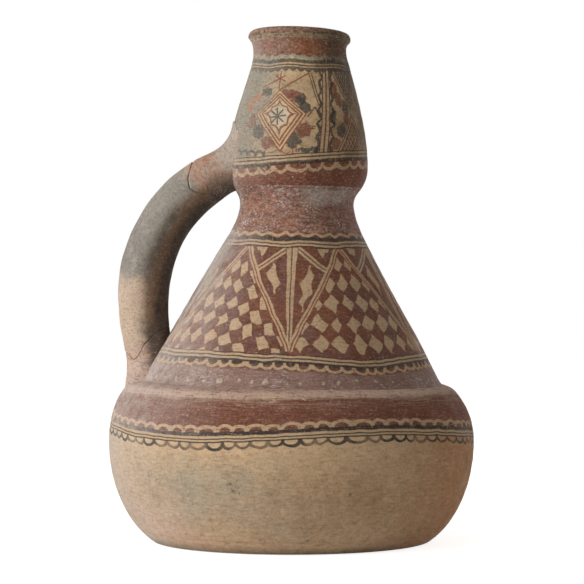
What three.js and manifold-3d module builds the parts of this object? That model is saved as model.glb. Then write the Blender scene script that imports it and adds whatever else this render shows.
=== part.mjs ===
// A hand-built terracotta jug with a loop handle: wide belly, cone, waisted neck, cup and rolled lip.
// Millimetres, +Z up, origin at the middle of the flat base. The handle is on the -X side.
import * as THREE from 'three';
import { mergeVertices } from 'three/addons/utils/BufferGeometryUtils.js';
import Module from 'manifold-3d';

const wasm = await Module();
wasm.setup();

// Wall and joints
const wall = 7.5;               // thickness of the fired wall
const slipFilm = 0.36;          // layer of slip left between two stages, measured up the wall
const scarfRise = 3;            // how much higher a seam lies on the inside than on the outside
const roundSteps = 44;          // facets around the jug

// Base and belly
const baseThickness = 10;
const baseCorner = 12.5;        // width of the worn edge around the flat underside
const baseCornerRise = 1.6;
const girthRadius = 131.4;
const girthHeight = 74;         // widest girth above the table
const lowerRound = 54.8;        // how far the lower belly curves in
const lowerTail = 6;            // how far below the table the lower belly's ellipse would end
const upperRound = 36;          // how far the ellipse of the upper belly curves in
const upperTail = 6.4;          // how far above the crease that ellipse would end
const cornerCoil = 12;          // size of the coil pressed in the inside corner of the base

// Shoulder ledge and cone
const ridgeAngle = 52;          // degrees up the shoulder's ellipse where the ledge starts
const ledgeWidth = 22.6;        // widest girth in to the crease under the cone
const creaseRise = 41.6;        // girth to the crease under the cone
const coneFootRise = 7;         // crease to the start of the straight wall
const coneFootInset = 4.6;      // crease in to the start of the straight wall
const coneRise = 101.8;         // crease to the top of the cone
const coneTopRadius = 50;

// Neck, cup, collar and lip
const waistRise = 26;           // top of the cone to the waist
const waistRadius = 40.7;
const neckEase = 8;             // length of the bends into and out of the waist's lower curve
const cupRise = 26.6;           // waist to the widest part of the cup
const cupRadius = coneTopRadius; // the cup swells back to the width of the cone's top
const waistFlare = 8.9;
const cupShoulder = 16.4;
const collarRise = 82.5;        // widest part of the cup to the narrowest part of the collar
const collarRadius = 33.5;
const cupDome = 35.4;
const collarEase = 13.1;
const lipRise = 10.1;           // narrowest part of the collar to the foot of the lip's crown
const lipRadius = 36.7;
const lipCrown = 3.7;           // height of the lip's rounded crown
const lipEase = 8.6;
const lipRoll = 0.7;            // how far the lip's rolled edge stands out under its crown
const lipRollDrop = 3;

// Seams between the stages
const throatSeamRise = 11.6;    // waist to the seam under the cup
const collarSeamDrop = 7.5;     // seam under the collar, below its narrowest part
const lipSeamRise = 4.5;        // seam under the lip, above the collar's narrowest part

// Handle
const handleRootDrop = 4;       // handle's upper end below the widest part of the cup
const handleTakeoff = 20;       // degrees that the handle dips as it leaves the cup
const handleTakeoffRun = 30;
const handleDropRun = 55;
const handleReach = 107.6;      // axis of the jug to the middle of the handle
const handleBulgeRise = 58.6;   // crease to the handle's outermost point
const handleFootRun = 24;
const handleFootInset = 6.8;    // crease in to the middle of the handle's foot
const handleFootEase = 30;
const handleTopThickness = 33;
const handleGripThickness = 38;
const handleFootThickness = 32.5;
const gripMiddle = 0.45;        // share of the handle's length where it is thickest
const rootFlare = 3.5;          // extra radius where the handle spreads on the wall
const rootFlareLength = 15;
const handleSides = 20;
const handleSteps = 26;
const rootDepth = 16;           // how deep the handle's core runs before it is cut by the wall
const tenonRadius = 9;
const tenonProud = 3;           // tenon's head inside the cup

// Old breaks of the handle: across in radii (outer side positive), along in mm from each end
const upperBreak = [
  [1.7, 15.5], [1, 17.5], [0.8, 21], [0.48, 26], [0.11, 29],
  [-0.17, 27], [-0.4, 23.5], [-0.6, 18], [-1.1, 8], [-1.7, 4],
];
const lowerBreak = [
  [1.7, 26], [0.9, 21], [0.62, 14.5], [0.42, 17], [0.1, 26.5], [-0.46, 34], [-1.1, 37], [-1.7, 38],
];

// Lean of the finished jug
const rimLean = 6;              // the mouth stands this far towards +X
const leanStart = 110;
const leanPower = 1.3;
const tiltFront = 5;            // degrees that the mouth rises towards the front, -Y
const tiltSide = 2;             // degrees that the mouth drops towards +X

// Heights of the levels, each from the one below it
const creaseHeight = girthHeight + creaseRise;
const coneTopHeight = creaseHeight + coneRise;
const waistHeight = coneTopHeight + waistRise;
const cupHeight = waistHeight + cupRise;
const collarHeight = cupHeight + collarRise;
const lipHeight = collarHeight + lipRise;
const topHeight = lipHeight + lipCrown;
const lowerSweep = girthHeight + lowerTail;
const upperSweep = creaseRise + upperTail;
const creaseRadius = girthRadius - ledgeWidth;
const coneFootRadius = creaseRadius - coneFootInset;
const coneSlope = (coneFootRadius - coneTopRadius) / (coneRise - coneFootRise);

const V = (x, y) => new THREE.Vector2(x, y);
const bezier = (...points) => new THREE.CubicBezierCurve(...points);

// Outside of the jug, bottom to top: an arc of each ellipse, then Bezier bends and the straight cone.
function ellipseArc(height, round, sweep, from, to, steps) {
  return Array.from({ length: steps + 1 }, (_, i) => {
    const angle = THREE.MathUtils.degToRad(from + (to - from) * i / steps);
    return V(girthRadius - round + round * Math.cos(angle), height + sweep * Math.sin(angle));
  });
}

function outsideProfile() {
  const cornerAngle = -THREE.MathUtils.radToDeg(Math.asin((girthHeight - baseCornerRise) / lowerSweep));
  const lower = ellipseArc(girthHeight, lowerRound, lowerSweep, cornerAngle, 0, 10);
  const upper = ellipseArc(girthHeight, upperRound, upperSweep, 0, ridgeAngle, 6);
  const ridge = upper[upper.length - 1];
  const crease = V(creaseRadius, creaseHeight);
  const coneFoot = V(coneFootRadius, creaseHeight + coneFootRise);
  const coneTop = V(coneTopRadius, coneTopHeight);
  const ledge = new THREE.QuadraticBezierCurve(ridge, V(ridge.x - 2.6, crease.y - 1.2), crease);
  const foot = new THREE.QuadraticBezierCurve(crease, V(coneFoot.x + 1.8, crease.y + 2.5), coneFoot);
  const waist = V(waistRadius, waistHeight);
  const cup = V(cupRadius, cupHeight);
  const collar = V(collarRadius, collarHeight);
  const lip = V(lipRadius, lipHeight);
  const neckLow = bezier(
    coneTop, V(coneTop.x - coneSlope * neckEase, coneTop.y + neckEase),
    V(waist.x, waist.y - neckEase), waist);
  const neckHigh = bezier(waist, V(waist.x, waist.y + waistFlare), V(cup.x, cup.y - cupShoulder), cup);
  const cupWall = bezier(cup, V(cup.x, cup.y + cupDome), V(collar.x, collar.y - collarEase), collar);
  const lipWall = bezier(
    collar, V(collar.x, collar.y + lipEase), V(lip.x + lipRoll, lip.y - lipRollDrop), lip);
  const joined = [...lower, ...upper.slice(1)];
  for (const [curve, steps] of [
    [ledge, 3], [foot, 2], [new THREE.LineCurve(coneFoot, coneTop), 4], [neckLow, 5],
    [neckHigh, 7], [cupWall, 10], [lipWall, 5],
  ]) joined.push(...curve.getPoints(steps).slice(1));
  return joined;
}

const outside = outsideProfile();

// Radius of a profile at a height, between its two nearest points.
function radiusAt(profile, height) {
  const above = profile.findIndex((point) => point.y >= height);
  if (above < 0) return profile[profile.length - 1].x;
  if (above === 0) return profile[0].x;
  const [a, b] = [profile[above - 1], profile[above]];
  return a.x + (b.x - a.x) * (height - a.y) / (b.y - a.y);
}

function slopeAt(profile, height) {
  const probe = 0.8;
  return (radiusAt(profile, height + probe) - radiusAt(profile, height - probe)) / (2 * probe);
}

// Inside radius: the belly's ellipses drawn in by the wall, and the rest one wall inside the outside.
function insideRadius(height) {
  const lower = height < girthHeight;
  const round = (lower ? lowerRound : upperRound) - wall;
  const sweep = (lower ? lowerSweep : upperSweep) - wall;
  const share = (height - girthHeight) / sweep;
  const belly = Math.abs(share) < 1 ? girthRadius - round - wall + round * Math.sqrt(1 - share * share) : 0;
  if (lower) return belly;
  const coneHeight = Math.min(height, coneTopHeight);
  const cone = coneTopRadius + coneSlope * (coneTopHeight - coneHeight) - wall * Math.hypot(1, coneSlope);
  if (height < coneTopHeight) return Math.max(belly, cone);
  return radiusAt(outside, height) - wall * Math.hypot(1, Math.min(0, slopeAt(outside, height)));
}

// Inside of the jug: points spread round the belly's ellipses, then at the heights of the outside's bends.
function insideProfile() {
  const angles = Array.from({ length: 15 }, (_, i) => THREE.MathUtils.degToRad(-72 + 10.5 * i));
  const belly = angles.map((angle) => {
    const sweep = (angle < 0 ? lowerSweep : upperSweep) - wall;
    return girthHeight + sweep * Math.sin(angle);
  });
  const above = outside.map((point) => point.y).filter((y) => y > belly[belly.length - 1] + 1);
  return [...belly, ...above].map((height) => V(insideRadius(height), height));
}

const inside = insideProfile();

// The stretch of a profile between two heights, with its bends, moved in by a clearance.
function stretch(profile, low, high, clearance = 0) {
  const margin = 0.8;
  const bends = profile.filter((point) => point.y > low + margin && point.y < high - margin);
  return [low, ...bends.map((point) => point.y), high]
    .map((height) => V(radiusAt(profile, height) - clearance, height));
}

// A closed outline in radius and height, turned around the jug's axis.
function turned(outline, steps = roundSteps) {
  const closes = outline[0].x < 1e-9;
  const points = closes ? outline : [...outline, outline[0]];
  const geometry = new THREE.LatheGeometry(points, steps);
  geometry.rotateX(Math.PI / 2);
  return toSolid(geometry);
}

// A manifold solid from a closed geometry, turned the right way out where the outline ran the other way.
function toSolid(geometry) {
  geometry.deleteAttribute('normal');
  geometry.deleteAttribute('uv');
  const merged = mergeVertices(geometry.index ? geometry : mergeVertices(geometry), 1e-4);
  const position = merged.getAttribute('position');
  const corners = Array.from(merged.index.array);
  const triangles = [];
  let volume = 0;
  const [a, b, c] = [new THREE.Vector3(), new THREE.Vector3(), new THREE.Vector3()];
  for (let i = 0; i < corners.length; i += 3) {
    const [p, q, r] = corners.slice(i, i + 3);
    if (p === q || q === r || r === p) continue;
    a.fromBufferAttribute(position, p);
    b.fromBufferAttribute(position, q);
    c.fromBufferAttribute(position, r);
    volume += a.dot(b.cross(c)) / 6;
    triangles.push(p, q, r);
  }
  if (volume < 0) triangles.reverse();
  return new wasm.Manifold(new wasm.Mesh({
    numProp: 3,
    vertProperties: new Float32Array(position.array),
    triVerts: new Uint32Array(triangles),
  }));
}

// One stage of the wall between two seams; each seam is a cone that rises towards the inside.
function stage(lowSeam, highSeam, lowScarf = scarfRise) {
  const low = lowSeam + slipFilm / 2;
  const high = highSeam - slipFilm / 2;
  const inner = stretch(inside, low + lowScarf, high + scarfRise);
  return turned([...stretch(outside, low, high), ...inner.reverse()]);
}

function baseSlab() {
  const rise = stretch(outside, baseCornerRise, baseThickness);
  const edge = rise[0].x;
  const corner = new THREE.QuadraticBezierCurve(V(edge - baseCorner, 0), V(edge - baseCorner / 6, 0), rise[0]);
  return turned([V(0, 0), ...corner.getPoints(3), ...rise.slice(1), V(0, baseThickness)]);
}

// Coil in the inside corner: it follows the wall and the disc, and its face is hollowed by a thumb.
function cornerCoilRing() {
  const low = baseThickness + slipFilm;
  const against = stretch(inside, low, low + cornerCoil, slipFilm);
  const top = against[against.length - 1];
  const toe = V(against[0].x - cornerCoil, low);
  const hollow = V(against[0].x - cornerCoil * 0.22, low + cornerCoil * 0.22);
  const face = new THREE.QuadraticBezierCurve(top, hollow, toe).getPoints(4);
  return turned([...against, ...face.slice(1)]);
}

function lipRing() {
  const low = collarHeight + lipSeamRise + slipFilm / 2;
  const outer = stretch(outside, low, lipHeight);
  const middle = lipRadius - wall / 2;
  const crown = Array.from({ length: 7 }, (_, i) => {
    const angle = Math.PI * (i + 1) / 8;
    return V(middle + wall / 2 * Math.cos(angle), lipHeight + lipCrown * Math.sin(angle));
  });
  const inner = stretch(inside, low + scarfRise, lipHeight);
  return turned([...outer, ...crown, ...inner.reverse()]);
}

// The jug's outside grown by the slip film, filled to the axis: it cuts the handle to fit the wall.
function grownBody() {
  const grown = outside.map((point) => {
    const slope = slopeAt(outside, point.y);
    const length = Math.hypot(1, slope);
    return V(point.x + slipFilm / length, point.y - slipFilm * slope / length);
  });
  const bottom = grown[0].y;
  const top = grown[grown.length - 1].y;
  return turned([V(0, bottom), ...grown, V(0, top)], roundSteps);
}

// Handle: two Bezier bends in the plane of the handle, from inside the cup to inside the shoulder.
const rootHeight = cupHeight - handleRootDrop;
const takeoff = THREE.MathUtils.degToRad(handleTakeoff);
const leave = V(-Math.cos(takeoff), -Math.sin(takeoff));
const rootPoint = V(-radiusAt(outside, rootHeight), rootHeight);
const bulgePoint = V(-handleReach, creaseHeight + handleBulgeRise);
const footPoint = V(handleFootInset - creaseRadius, creaseHeight);
const handlePath = new THREE.CurvePath();
handlePath.add(new THREE.LineCurve(rootPoint.clone().addScaledVector(leave, -rootDepth), rootPoint));
handlePath.add(bezier(
  rootPoint, rootPoint.clone().addScaledVector(leave, handleTakeoffRun),
  V(bulgePoint.x, bulgePoint.y + handleDropRun), bulgePoint));
handlePath.add(bezier(
  bulgePoint, V(bulgePoint.x, bulgePoint.y - handleFootRun),
  V(footPoint.x, footPoint.y + handleFootEase), footPoint));
handlePath.add(new THREE.LineCurve(footPoint, V(footPoint.x, footPoint.y - rootDepth)));
const handleLength = handlePath.getLength();

// Point beside the handle's middle line: along from its start, across towards the outer side.
function besideHandle(along, across) {
  const share = along / handleLength;
  const point = handlePath.getPointAt(share);
  const way = handlePath.getTangentAt(share);
  return V(point.x + way.y * across, point.y - way.x * across);
}

function handleRadius(along) {
  const share = (along - rootDepth) / (handleLength - 2 * rootDepth);
  const swell = share < gripMiddle ? share / gripMiddle : (1 - share) / (1 - gripMiddle);
  const end = share < gripMiddle ? handleTopThickness : handleFootThickness;
  const smooth = THREE.MathUtils.smoothstep(swell, 0, 1);
  const fromWall = Math.min(along, handleLength - along) - rootDepth;
  const spread = Math.max(0, 1 - Math.max(0, fromWall) / rootFlareLength);
  return (end + (handleGripThickness - end) * smooth) / 2 + rootFlare * spread * spread;
}

function handleCore() {
  const corners = [];
  const index = [];
  for (let i = 0; i <= handleSteps; i += 1) {
    const along = handleLength * i / handleSteps;
    for (let j = 0; j < handleSides; j += 1) {
      const angle = 2 * Math.PI * j / handleSides;
      const point = besideHandle(along, handleRadius(along) * Math.cos(angle));
      corners.push(point.x, handleRadius(along) * Math.sin(angle), point.y);
      const next = (j + 1) % handleSides;
      const [a, b] = [i * handleSides + j, i * handleSides + next];
      if (i < handleSteps) index.push(a, a + handleSides, b, b, a + handleSides, b + handleSides);
      if (i === 0 && j > 1) index.push(0, j - 1, j);
      if (i === handleSteps && j > 1) {
        const first = i * handleSides;
        index.push(first, first + j, first + j - 1);
      }
    }
  }
  const geometry = new THREE.BufferGeometry();
  geometry.setAttribute('position', new THREE.Float32BufferAttribute(corners, 3));
  geometry.setIndex(index);
  return toSolid(geometry);
}

// A break as a line of points in the plane of the handle, moved off the root by a gap.
function breakLine(marks, fromStart, gap) {
  const line = marks.map(([across, along]) => {
    const place = fromStart ? rootDepth + along : handleLength - rootDepth - along;
    return besideHandle(place, across * handleRadius(place));
  });
  return line.map((point, i) => {
    const before = line[Math.max(0, i - 1)];
    const after = line[Math.min(line.length - 1, i + 1)];
    const way = after.clone().sub(before).normalize();
    const side = fromStart ? 1 : -1;
    return V(point.x + side * way.y * gap, point.y - side * way.x * gap);
  });
}

// Everything on a root's side of its break, as a block as wide as the handle and more.
function rootBlock(marks, fromStart, gap) {
  const line = breakLine(marks, fromStart, gap);
  const [first, last] = [line[0], line[line.length - 1]];
  const behind = fromStart
    ? [V(0, last.y), V(0, topHeight), V(first.x, topHeight)]
    : [V(last.x, 0), V(first.x, 0)];
  const shape = new THREE.Shape([...line, ...behind]);
  const width = 2 * handleGripThickness;
  const geometry = new THREE.ExtrudeGeometry(shape, { depth: width, bevelEnabled: false });
  geometry.translate(0, 0, -width / 2);
  geometry.rotateX(Math.PI / 2);
  return toSolid(geometry);
}

// Tenon at the handle's upper end, through the cup's wall, grown by a clearance for its hole.
function tenon(clearance) {
  const reach = wall + tenonProud + clearance;
  const bite = 6;
  const geometry = new THREE.CylinderGeometry(
    tenonRadius + clearance, tenonRadius + clearance, reach + bite, 20);
  geometry.translate(0, (bite - reach) / 2, 0);
  const turn = new THREE.Quaternion().setFromUnitVectors(
    new THREE.Vector3(0, 1, 0), new THREE.Vector3(leave.x, 0, leave.y));
  geometry.applyQuaternion(turn);
  geometry.translate(rootPoint.x, 0, rootPoint.y);
  return toSolid(geometry);
}

// The finished jug leans: every point moves with its height, and the mouth tips forward.
function lean(point) {
  const share = Math.max(0, (point.z - leanStart) / (topHeight - leanStart));
  const tip = THREE.MathUtils.smoothstep(point.z, coneTopHeight, cupHeight + collarRise / 2);
  const front = Math.tan(THREE.MathUtils.degToRad(tiltFront));
  const side = Math.tan(THREE.MathUtils.degToRad(tiltSide));
  const rise = -tip * (point.y * front + point.x * side);
  point.x += rimLean * share ** leanPower;
  point.z += rise;
  return point;
}

function toGeometry(solid) {
  const mesh = solid.getMesh();
  const geometry = new THREE.BufferGeometry();
  const places = new Float32Array(mesh.vertProperties);
  const point = new THREE.Vector3();
  for (let i = 0; i < places.length; i += 3) {
    lean(point.fromArray(places, i)).toArray(places, i);
  }
  geometry.setAttribute('position', new THREE.BufferAttribute(places, 3));
  geometry.setIndex(new THREE.BufferAttribute(new Uint32Array(mesh.triVerts), 1));
  geometry.computeVertexNormals();
  return geometry;
}

const bareClay = { color: 0xc09a74, roughness: 0.86, metalness: 0 };
const redSlip = { color: 0x8a3b2a, roughness: 0.62, metalness: 0 };
const smokedClay = { color: 0x8d8468, roughness: 0.84, metalness: 0 };

const handle = handleCore().subtract(grownBody());
const upperRoot = handle.intersect(rootBlock(upperBreak, true, 0)).add(tenon(0));
const lowerRoot = handle.intersect(rootBlock(lowerBreak, false, 0));
const grip = handle
  .subtract(rootBlock(upperBreak, true, slipFilm))
  .subtract(rootBlock(lowerBreak, false, slipFilm));
const throatSeam = waistHeight + throatSeamRise;
const collarSeam = collarHeight - collarSeamDrop;
const lipSeam = collarHeight + lipSeamRise;

const pieces = [
  ['base_slab', baseSlab(), bareClay],
  ['corner_coil', cornerCoilRing(), bareClay],
  ['lower_belly', stage(baseThickness + slipFilm / 2, girthHeight, 0), bareClay],
  ['shoulder', stage(girthHeight, creaseHeight), redSlip],
  ['cone', stage(creaseHeight, coneTopHeight), redSlip],
  ['neck', stage(coneTopHeight, throatSeam), redSlip],
  ['cup', stage(throatSeam, collarSeam).subtract(tenon(slipFilm)), redSlip],
  ['collar', stage(collarSeam, lipSeam), redSlip],
  ['lip', lipRing(), redSlip],
  ['handle_upper_root', upperRoot, smokedClay],
  ['handle_grip', grip, smokedClay],
  ['handle_lower_root', lowerRoot, bareClay],
];

const jug = new THREE.Group();
for (const [name, solid, finish] of pieces) {
  const mesh = new THREE.Mesh(toGeometry(solid), new THREE.MeshStandardMaterial(finish));
  mesh.name = name;
  jug.add(mesh);
}

export default jug;
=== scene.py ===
"""A hand-built, slip-painted terracotta jug with a loop handle, dressed around its CAD frame."""
import math

import bpy
import numpy as np
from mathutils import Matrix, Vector


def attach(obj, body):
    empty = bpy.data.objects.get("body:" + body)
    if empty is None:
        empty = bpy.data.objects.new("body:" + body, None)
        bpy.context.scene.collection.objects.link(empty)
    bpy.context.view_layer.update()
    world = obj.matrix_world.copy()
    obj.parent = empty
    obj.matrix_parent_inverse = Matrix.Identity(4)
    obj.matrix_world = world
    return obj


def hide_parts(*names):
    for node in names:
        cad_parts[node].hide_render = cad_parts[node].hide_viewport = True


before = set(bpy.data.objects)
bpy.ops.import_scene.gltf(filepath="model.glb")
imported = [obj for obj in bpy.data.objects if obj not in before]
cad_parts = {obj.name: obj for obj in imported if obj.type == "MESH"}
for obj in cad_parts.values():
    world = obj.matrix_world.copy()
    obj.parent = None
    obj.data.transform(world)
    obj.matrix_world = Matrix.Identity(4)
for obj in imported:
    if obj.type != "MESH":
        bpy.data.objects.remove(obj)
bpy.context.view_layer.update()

# Camera. It stands level with the jug's waist, 2.3 m away, and looks slightly down at the painted
# front, so that the lip and the painted rings sag towards it a little.
MM = 0.001
EYE = (0.0004, -2.304, 0.2333)
TARGET_HEIGHT = 0.1800
VIEW_WIDTH = 0.4205  # width of the view at the jug's axis

camera_data = bpy.data.cameras.new("camera")
camera_data.sensor_width = 36.0
camera_data.lens = 36.0 * -EYE[1] / VIEW_WIDTH
camera = bpy.data.objects.new("camera", camera_data)
camera.location = EYE
camera.rotation_euler = (math.pi / 2 - math.atan((EYE[2] - TARGET_HEIGHT) / -EYE[1]), 0, 0)
bpy.context.collection.objects.link(camera)
bpy.context.scene.camera = camera
bpy.context.scene.view_settings.view_transform = "Standard"

# Light. One broad window to the left and front, a weak one above, and a dim room around, which
# the camera sees as white.
KEY_WATTS = 38.5
TOP_WATTS = 2.0
ROOM_LIGHT = (0.235, 0.217, 0.196, 1)


def window(name, place, aim, size, watts, tint):
    """A square area lamp at place, turned so that its face looks at aim."""
    lamp = bpy.data.lights.new(name, "AREA")
    lamp.shape = "SQUARE"
    lamp.size = size
    lamp.energy = watts
    lamp.color = tint
    made = bpy.data.objects.new(name, lamp)
    made.location = place
    made.rotation_euler = (made.location - Vector(aim)).to_track_quat("Z", "Y").to_euler()
    bpy.context.collection.objects.link(made)


window("key_window", (-1.9, -1.0, 0.9), (0, 0, 0.18), 1.3, KEY_WATTS, (1.0, 0.988, 0.975))
window("top_window", (-0.2, -0.6, 1.9), (0, 0, 0.18), 1.2, TOP_WATTS, (0.97, 0.985, 1.0))

world = bpy.data.worlds.new("room")
bpy.context.scene.world = world
world.use_nodes = True
room = world.node_tree
room.nodes.clear()


def shown(tree):
    """1 for what the camera sees, straight, in a reflection or through glass, and 0 for other light."""
    path = tree.nodes.new("ShaderNodeLightPath")
    seen = path.outputs["Is Camera Ray"]
    for ray in ("Is Glossy Ray", "Is Transmission Ray"):
        either = tree.nodes.new("ShaderNodeMath")
        either.operation = "MAXIMUM"
        tree.links.new(seen, either.inputs[0])
        tree.links.new(path.outputs[ray], either.inputs[1])
        seen = either.outputs[0]
    return seen


room_colour = room.nodes.new("ShaderNodeMix")
room_colour.data_type = "RGBA"
room_colour.inputs["A"].default_value = ROOM_LIGHT
room_colour.inputs["B"].default_value = (1, 1, 1, 1)
room_background = room.nodes.new("ShaderNodeBackground")
room_out = room.nodes.new("ShaderNodeOutputWorld")
room.links.new(shown(room), room_colour.inputs["Factor"])
room.links.new(room_colour.outputs["Result"], room_background.inputs["Color"])
room.links.new(room_background.outputs[0], room_out.inputs["Surface"])

# Base slab. A flat disc of clay patted out by hand: the jug stands on it, and its worn edge is round.
# It is buff village clay with coarse grit, left bare, and the lower wall was coiled up on its rim.
WALL = 7.5
BASE_THICKNESS = 10.0
BASE_CORNER = 12.5
BASE_CORNER_RISE = 1.6
GIRTH_RADIUS, GIRTH_HEIGHT = 131.4, 74.0
LOWER_ROUND, LOWER_SWEEP = 54.8, 80.0
UPPER_ROUND, UPPER_SWEEP = 36.0, 48.0
RIDGE_ANGLE = 52.0
CREASE_RADIUS, CREASE_HEIGHT = 108.8, 115.6
CONE_FOOT_RADIUS, CONE_FOOT_HEIGHT = 104.2, 122.6
CONE_TOP_RADIUS, CONE_TOP_HEIGHT = 50.0, 217.4
CONE_SLOPE = (CONE_FOOT_RADIUS - CONE_TOP_RADIUS) / (CONE_TOP_HEIGHT - CONE_FOOT_HEIGHT)
WAIST_RADIUS, WAIST_HEIGHT = 40.7, 243.4
CUP_RADIUS, CUP_HEIGHT = 50.0, 270.0
COLLAR_RADIUS, COLLAR_HEIGHT = 33.5, 352.5
LIP_RADIUS, LIP_HEIGHT, LIP_CROWN = 36.7, 362.6, 3.7
NECK_EASE, WAIST_FLARE, CUP_SHOULDER = 8.0, 8.9, 16.4  # how far a bend keeps its first direction
CUP_DOME, COLLAR_EASE, LIP_EASE = 35.4, 13.1, 8.6
LEDGE_EASE, FOOT_EASE, LIP_ROLL = (2.6, 1.2), (1.8, 2.5), (0.7, 3.0)  # and the tight ones, out and up
RIM_LEAN, LEAN_START, LEAN_POWER = 6.0, 110.0, 1.3
TILT_FRONT, TILT_SIDE = math.radians(5), math.radians(2)
TOP_HEIGHT = LIP_HEIGHT + LIP_CROWN
AROUND = 480  # columns of each round surface
SHARP_ANGLE = math.radians(48)
INSIDE = 2  # turns added to the wall map inside the jug, where nothing is painted
PAINT_TILT = 0.021  # slope of the shoulder and of the painted lines, down to the right
NECK_BOW = 1.5
HAND_WOBBLE, FINGER_DENT, SCRAPER_FLAT = 0.80, 0.30, 0.10


def bend(*points, steps=120):
    """Bezier curve through any number of control points, as a list of radii and heights."""
    share = np.linspace(0, 1, steps)[:, None]
    row = [np.array(point, float) * np.ones_like(share) for point in points]
    while len(row) > 1:
        row = [a * (1 - share) + b * share for a, b in zip(row, row[1:])]
    return row[0]


def belly_arc(round_in, sweep, start, end):
    """Arc of an ellipse at the girth: radius by the cosine of the angle, height by its sine."""
    angle = np.radians(np.linspace(start, end, 160))
    radius = GIRTH_RADIUS - round_in + round_in * np.cos(angle)
    return np.stack([radius, GIRTH_HEIGHT + sweep * np.sin(angle)], 1)


def outside_outline():
    """The jug's outside from base to lip: two ellipse arcs, then Bezier bends and the straight cone."""
    base_angle = -math.degrees(math.asin((GIRTH_HEIGHT - BASE_CORNER_RISE) / LOWER_SWEEP))
    lower = belly_arc(LOWER_ROUND, LOWER_SWEEP, base_angle, 0)
    upper = belly_arc(UPPER_ROUND, UPPER_SWEEP, 0, RIDGE_ANGLE)
    ridge, crease = upper[-1], (CREASE_RADIUS, CREASE_HEIGHT)
    foot, top = (CONE_FOOT_RADIUS, CONE_FOOT_HEIGHT), (CONE_TOP_RADIUS, CONE_TOP_HEIGHT)
    waist, cup = (WAIST_RADIUS, WAIST_HEIGHT), (CUP_RADIUS, CUP_HEIGHT)
    collar, lip = (COLLAR_RADIUS, COLLAR_HEIGHT), (LIP_RADIUS, LIP_HEIGHT)
    stretches = [
        lower, upper,
        bend(ridge, (ridge[0] - LEDGE_EASE[0], crease[1] - LEDGE_EASE[1]), crease),
        bend(crease, (foot[0] + FOOT_EASE[0], crease[1] + FOOT_EASE[1]), foot),
        bend(foot, top),
        bend(top, (top[0] - CONE_SLOPE * NECK_EASE, top[1] + NECK_EASE),
             (waist[0], waist[1] - NECK_EASE), waist),
        bend(waist, (waist[0], waist[1] + WAIST_FLARE), (cup[0], cup[1] - CUP_SHOULDER), cup),
        bend(cup, (cup[0], cup[1] + CUP_DOME), (collar[0], collar[1] - COLLAR_EASE), collar),
        bend(collar, (collar[0], collar[1] + LIP_EASE), (lip[0] + LIP_ROLL[0], lip[1] - LIP_ROLL[1]), lip),
    ]
    return np.concatenate([stretches[0]] + [part[1:] for part in stretches[1:]])


OUTSIDE = outside_outline()


def outside_radius(height):
    """Radius of the outside at a height."""
    return np.interp(height, OUTSIDE[:, 1], OUTSIDE[:, 0])


def inside_radius(height):
    """Radius of the inside: the belly's ellipses less the wall, and above them one wall in from outside."""
    height = np.asarray(height, float)
    low = height < GIRTH_HEIGHT
    round_in = np.where(low, LOWER_ROUND, UPPER_ROUND) - WALL
    sweep = np.where(low, LOWER_SWEEP, UPPER_SWEEP) - WALL
    share = np.clip((height - GIRTH_HEIGHT) / sweep, -1, 1)
    belly = GIRTH_RADIUS - round_in - WALL + round_in * np.sqrt(1 - share**2)
    slope = (outside_radius(height + 0.8) - outside_radius(height - 0.8)) / 1.6
    cone = CONE_TOP_RADIUS + CONE_SLOPE * (CONE_TOP_HEIGHT - height) - WALL * math.hypot(1, CONE_SLOPE)
    above = outside_radius(height) - WALL * np.hypot(1, np.minimum(0, slope))
    upper = np.where(height < CONE_TOP_HEIGHT, np.maximum(np.where(share < 1, belly, 0), cone), above)
    return np.where(low, belly, upper)


def smooth(value, low, high):
    """Smoothstep from 0 at low to 1 at high."""
    share = np.clip((value - low) / (high - low), 0, 1)
    return share * share * (3 - 2 * share)


def swells(turn, rise, counts, length, seed):
    """Sum of seeded sines around and up the wall, about -1 to 1: each count of waves closes on itself."""
    rng = np.random.default_rng(seed)
    total = 0
    for count in counts:
        first, second, drift = rng.uniform(0, 2 * math.pi, 3)
        total = total + np.sin(count * turn + first + 1.7 * np.sin(rise / length + drift))
        total = total + np.sin(2 * rise / length + second + np.sin(count * turn + drift))
    return total / (2 * len(counts))


def hand_marks(turn, rise):
    """What the potter's hands left, in mm: a slow wobble, finger dents and the flats of a scraper."""
    slow = HAND_WOBBLE * swells(turn, rise, (2, 3, 5), 34, 11)
    dents = FINGER_DENT * swells(turn, rise, (9, 13, 17), 9.5, 12)
    flats = SCRAPER_FLAT * swells(turn, rise, (31, 41, 53), 3.1, 13)
    return (slow + dents + flats) * smooth(rise, 0, 14)


def leaned(x, y, z):
    """The finished jug's lean: the mouth stands off to +X and tips, up at the front, down at the right.
    The shoulder dips to the right too, as far as the painted lines do, and the neck bows out a little."""
    share = np.clip((z - LEAN_START) / (TOP_HEIGHT - LEAN_START), 0, None)
    tip = smooth(z, CONE_TOP_HEIGHT, (CUP_HEIGHT + COLLAR_HEIGHT) / 2)
    rise = -tip * (y * math.tan(TILT_FRONT) + x * math.tan(TILT_SIDE))
    dip = -PAINT_TILT * x * smooth(z, 40, 108) * (1 - smooth(z, 118, 150))
    bow = NECK_BOW * smooth(z, 200, 240) * (1 - smooth(z, 340, 360))
    return np.stack([x + RIM_LEAN * share**LEAN_POWER + bow, y, z + rise + dip], -1)


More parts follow.
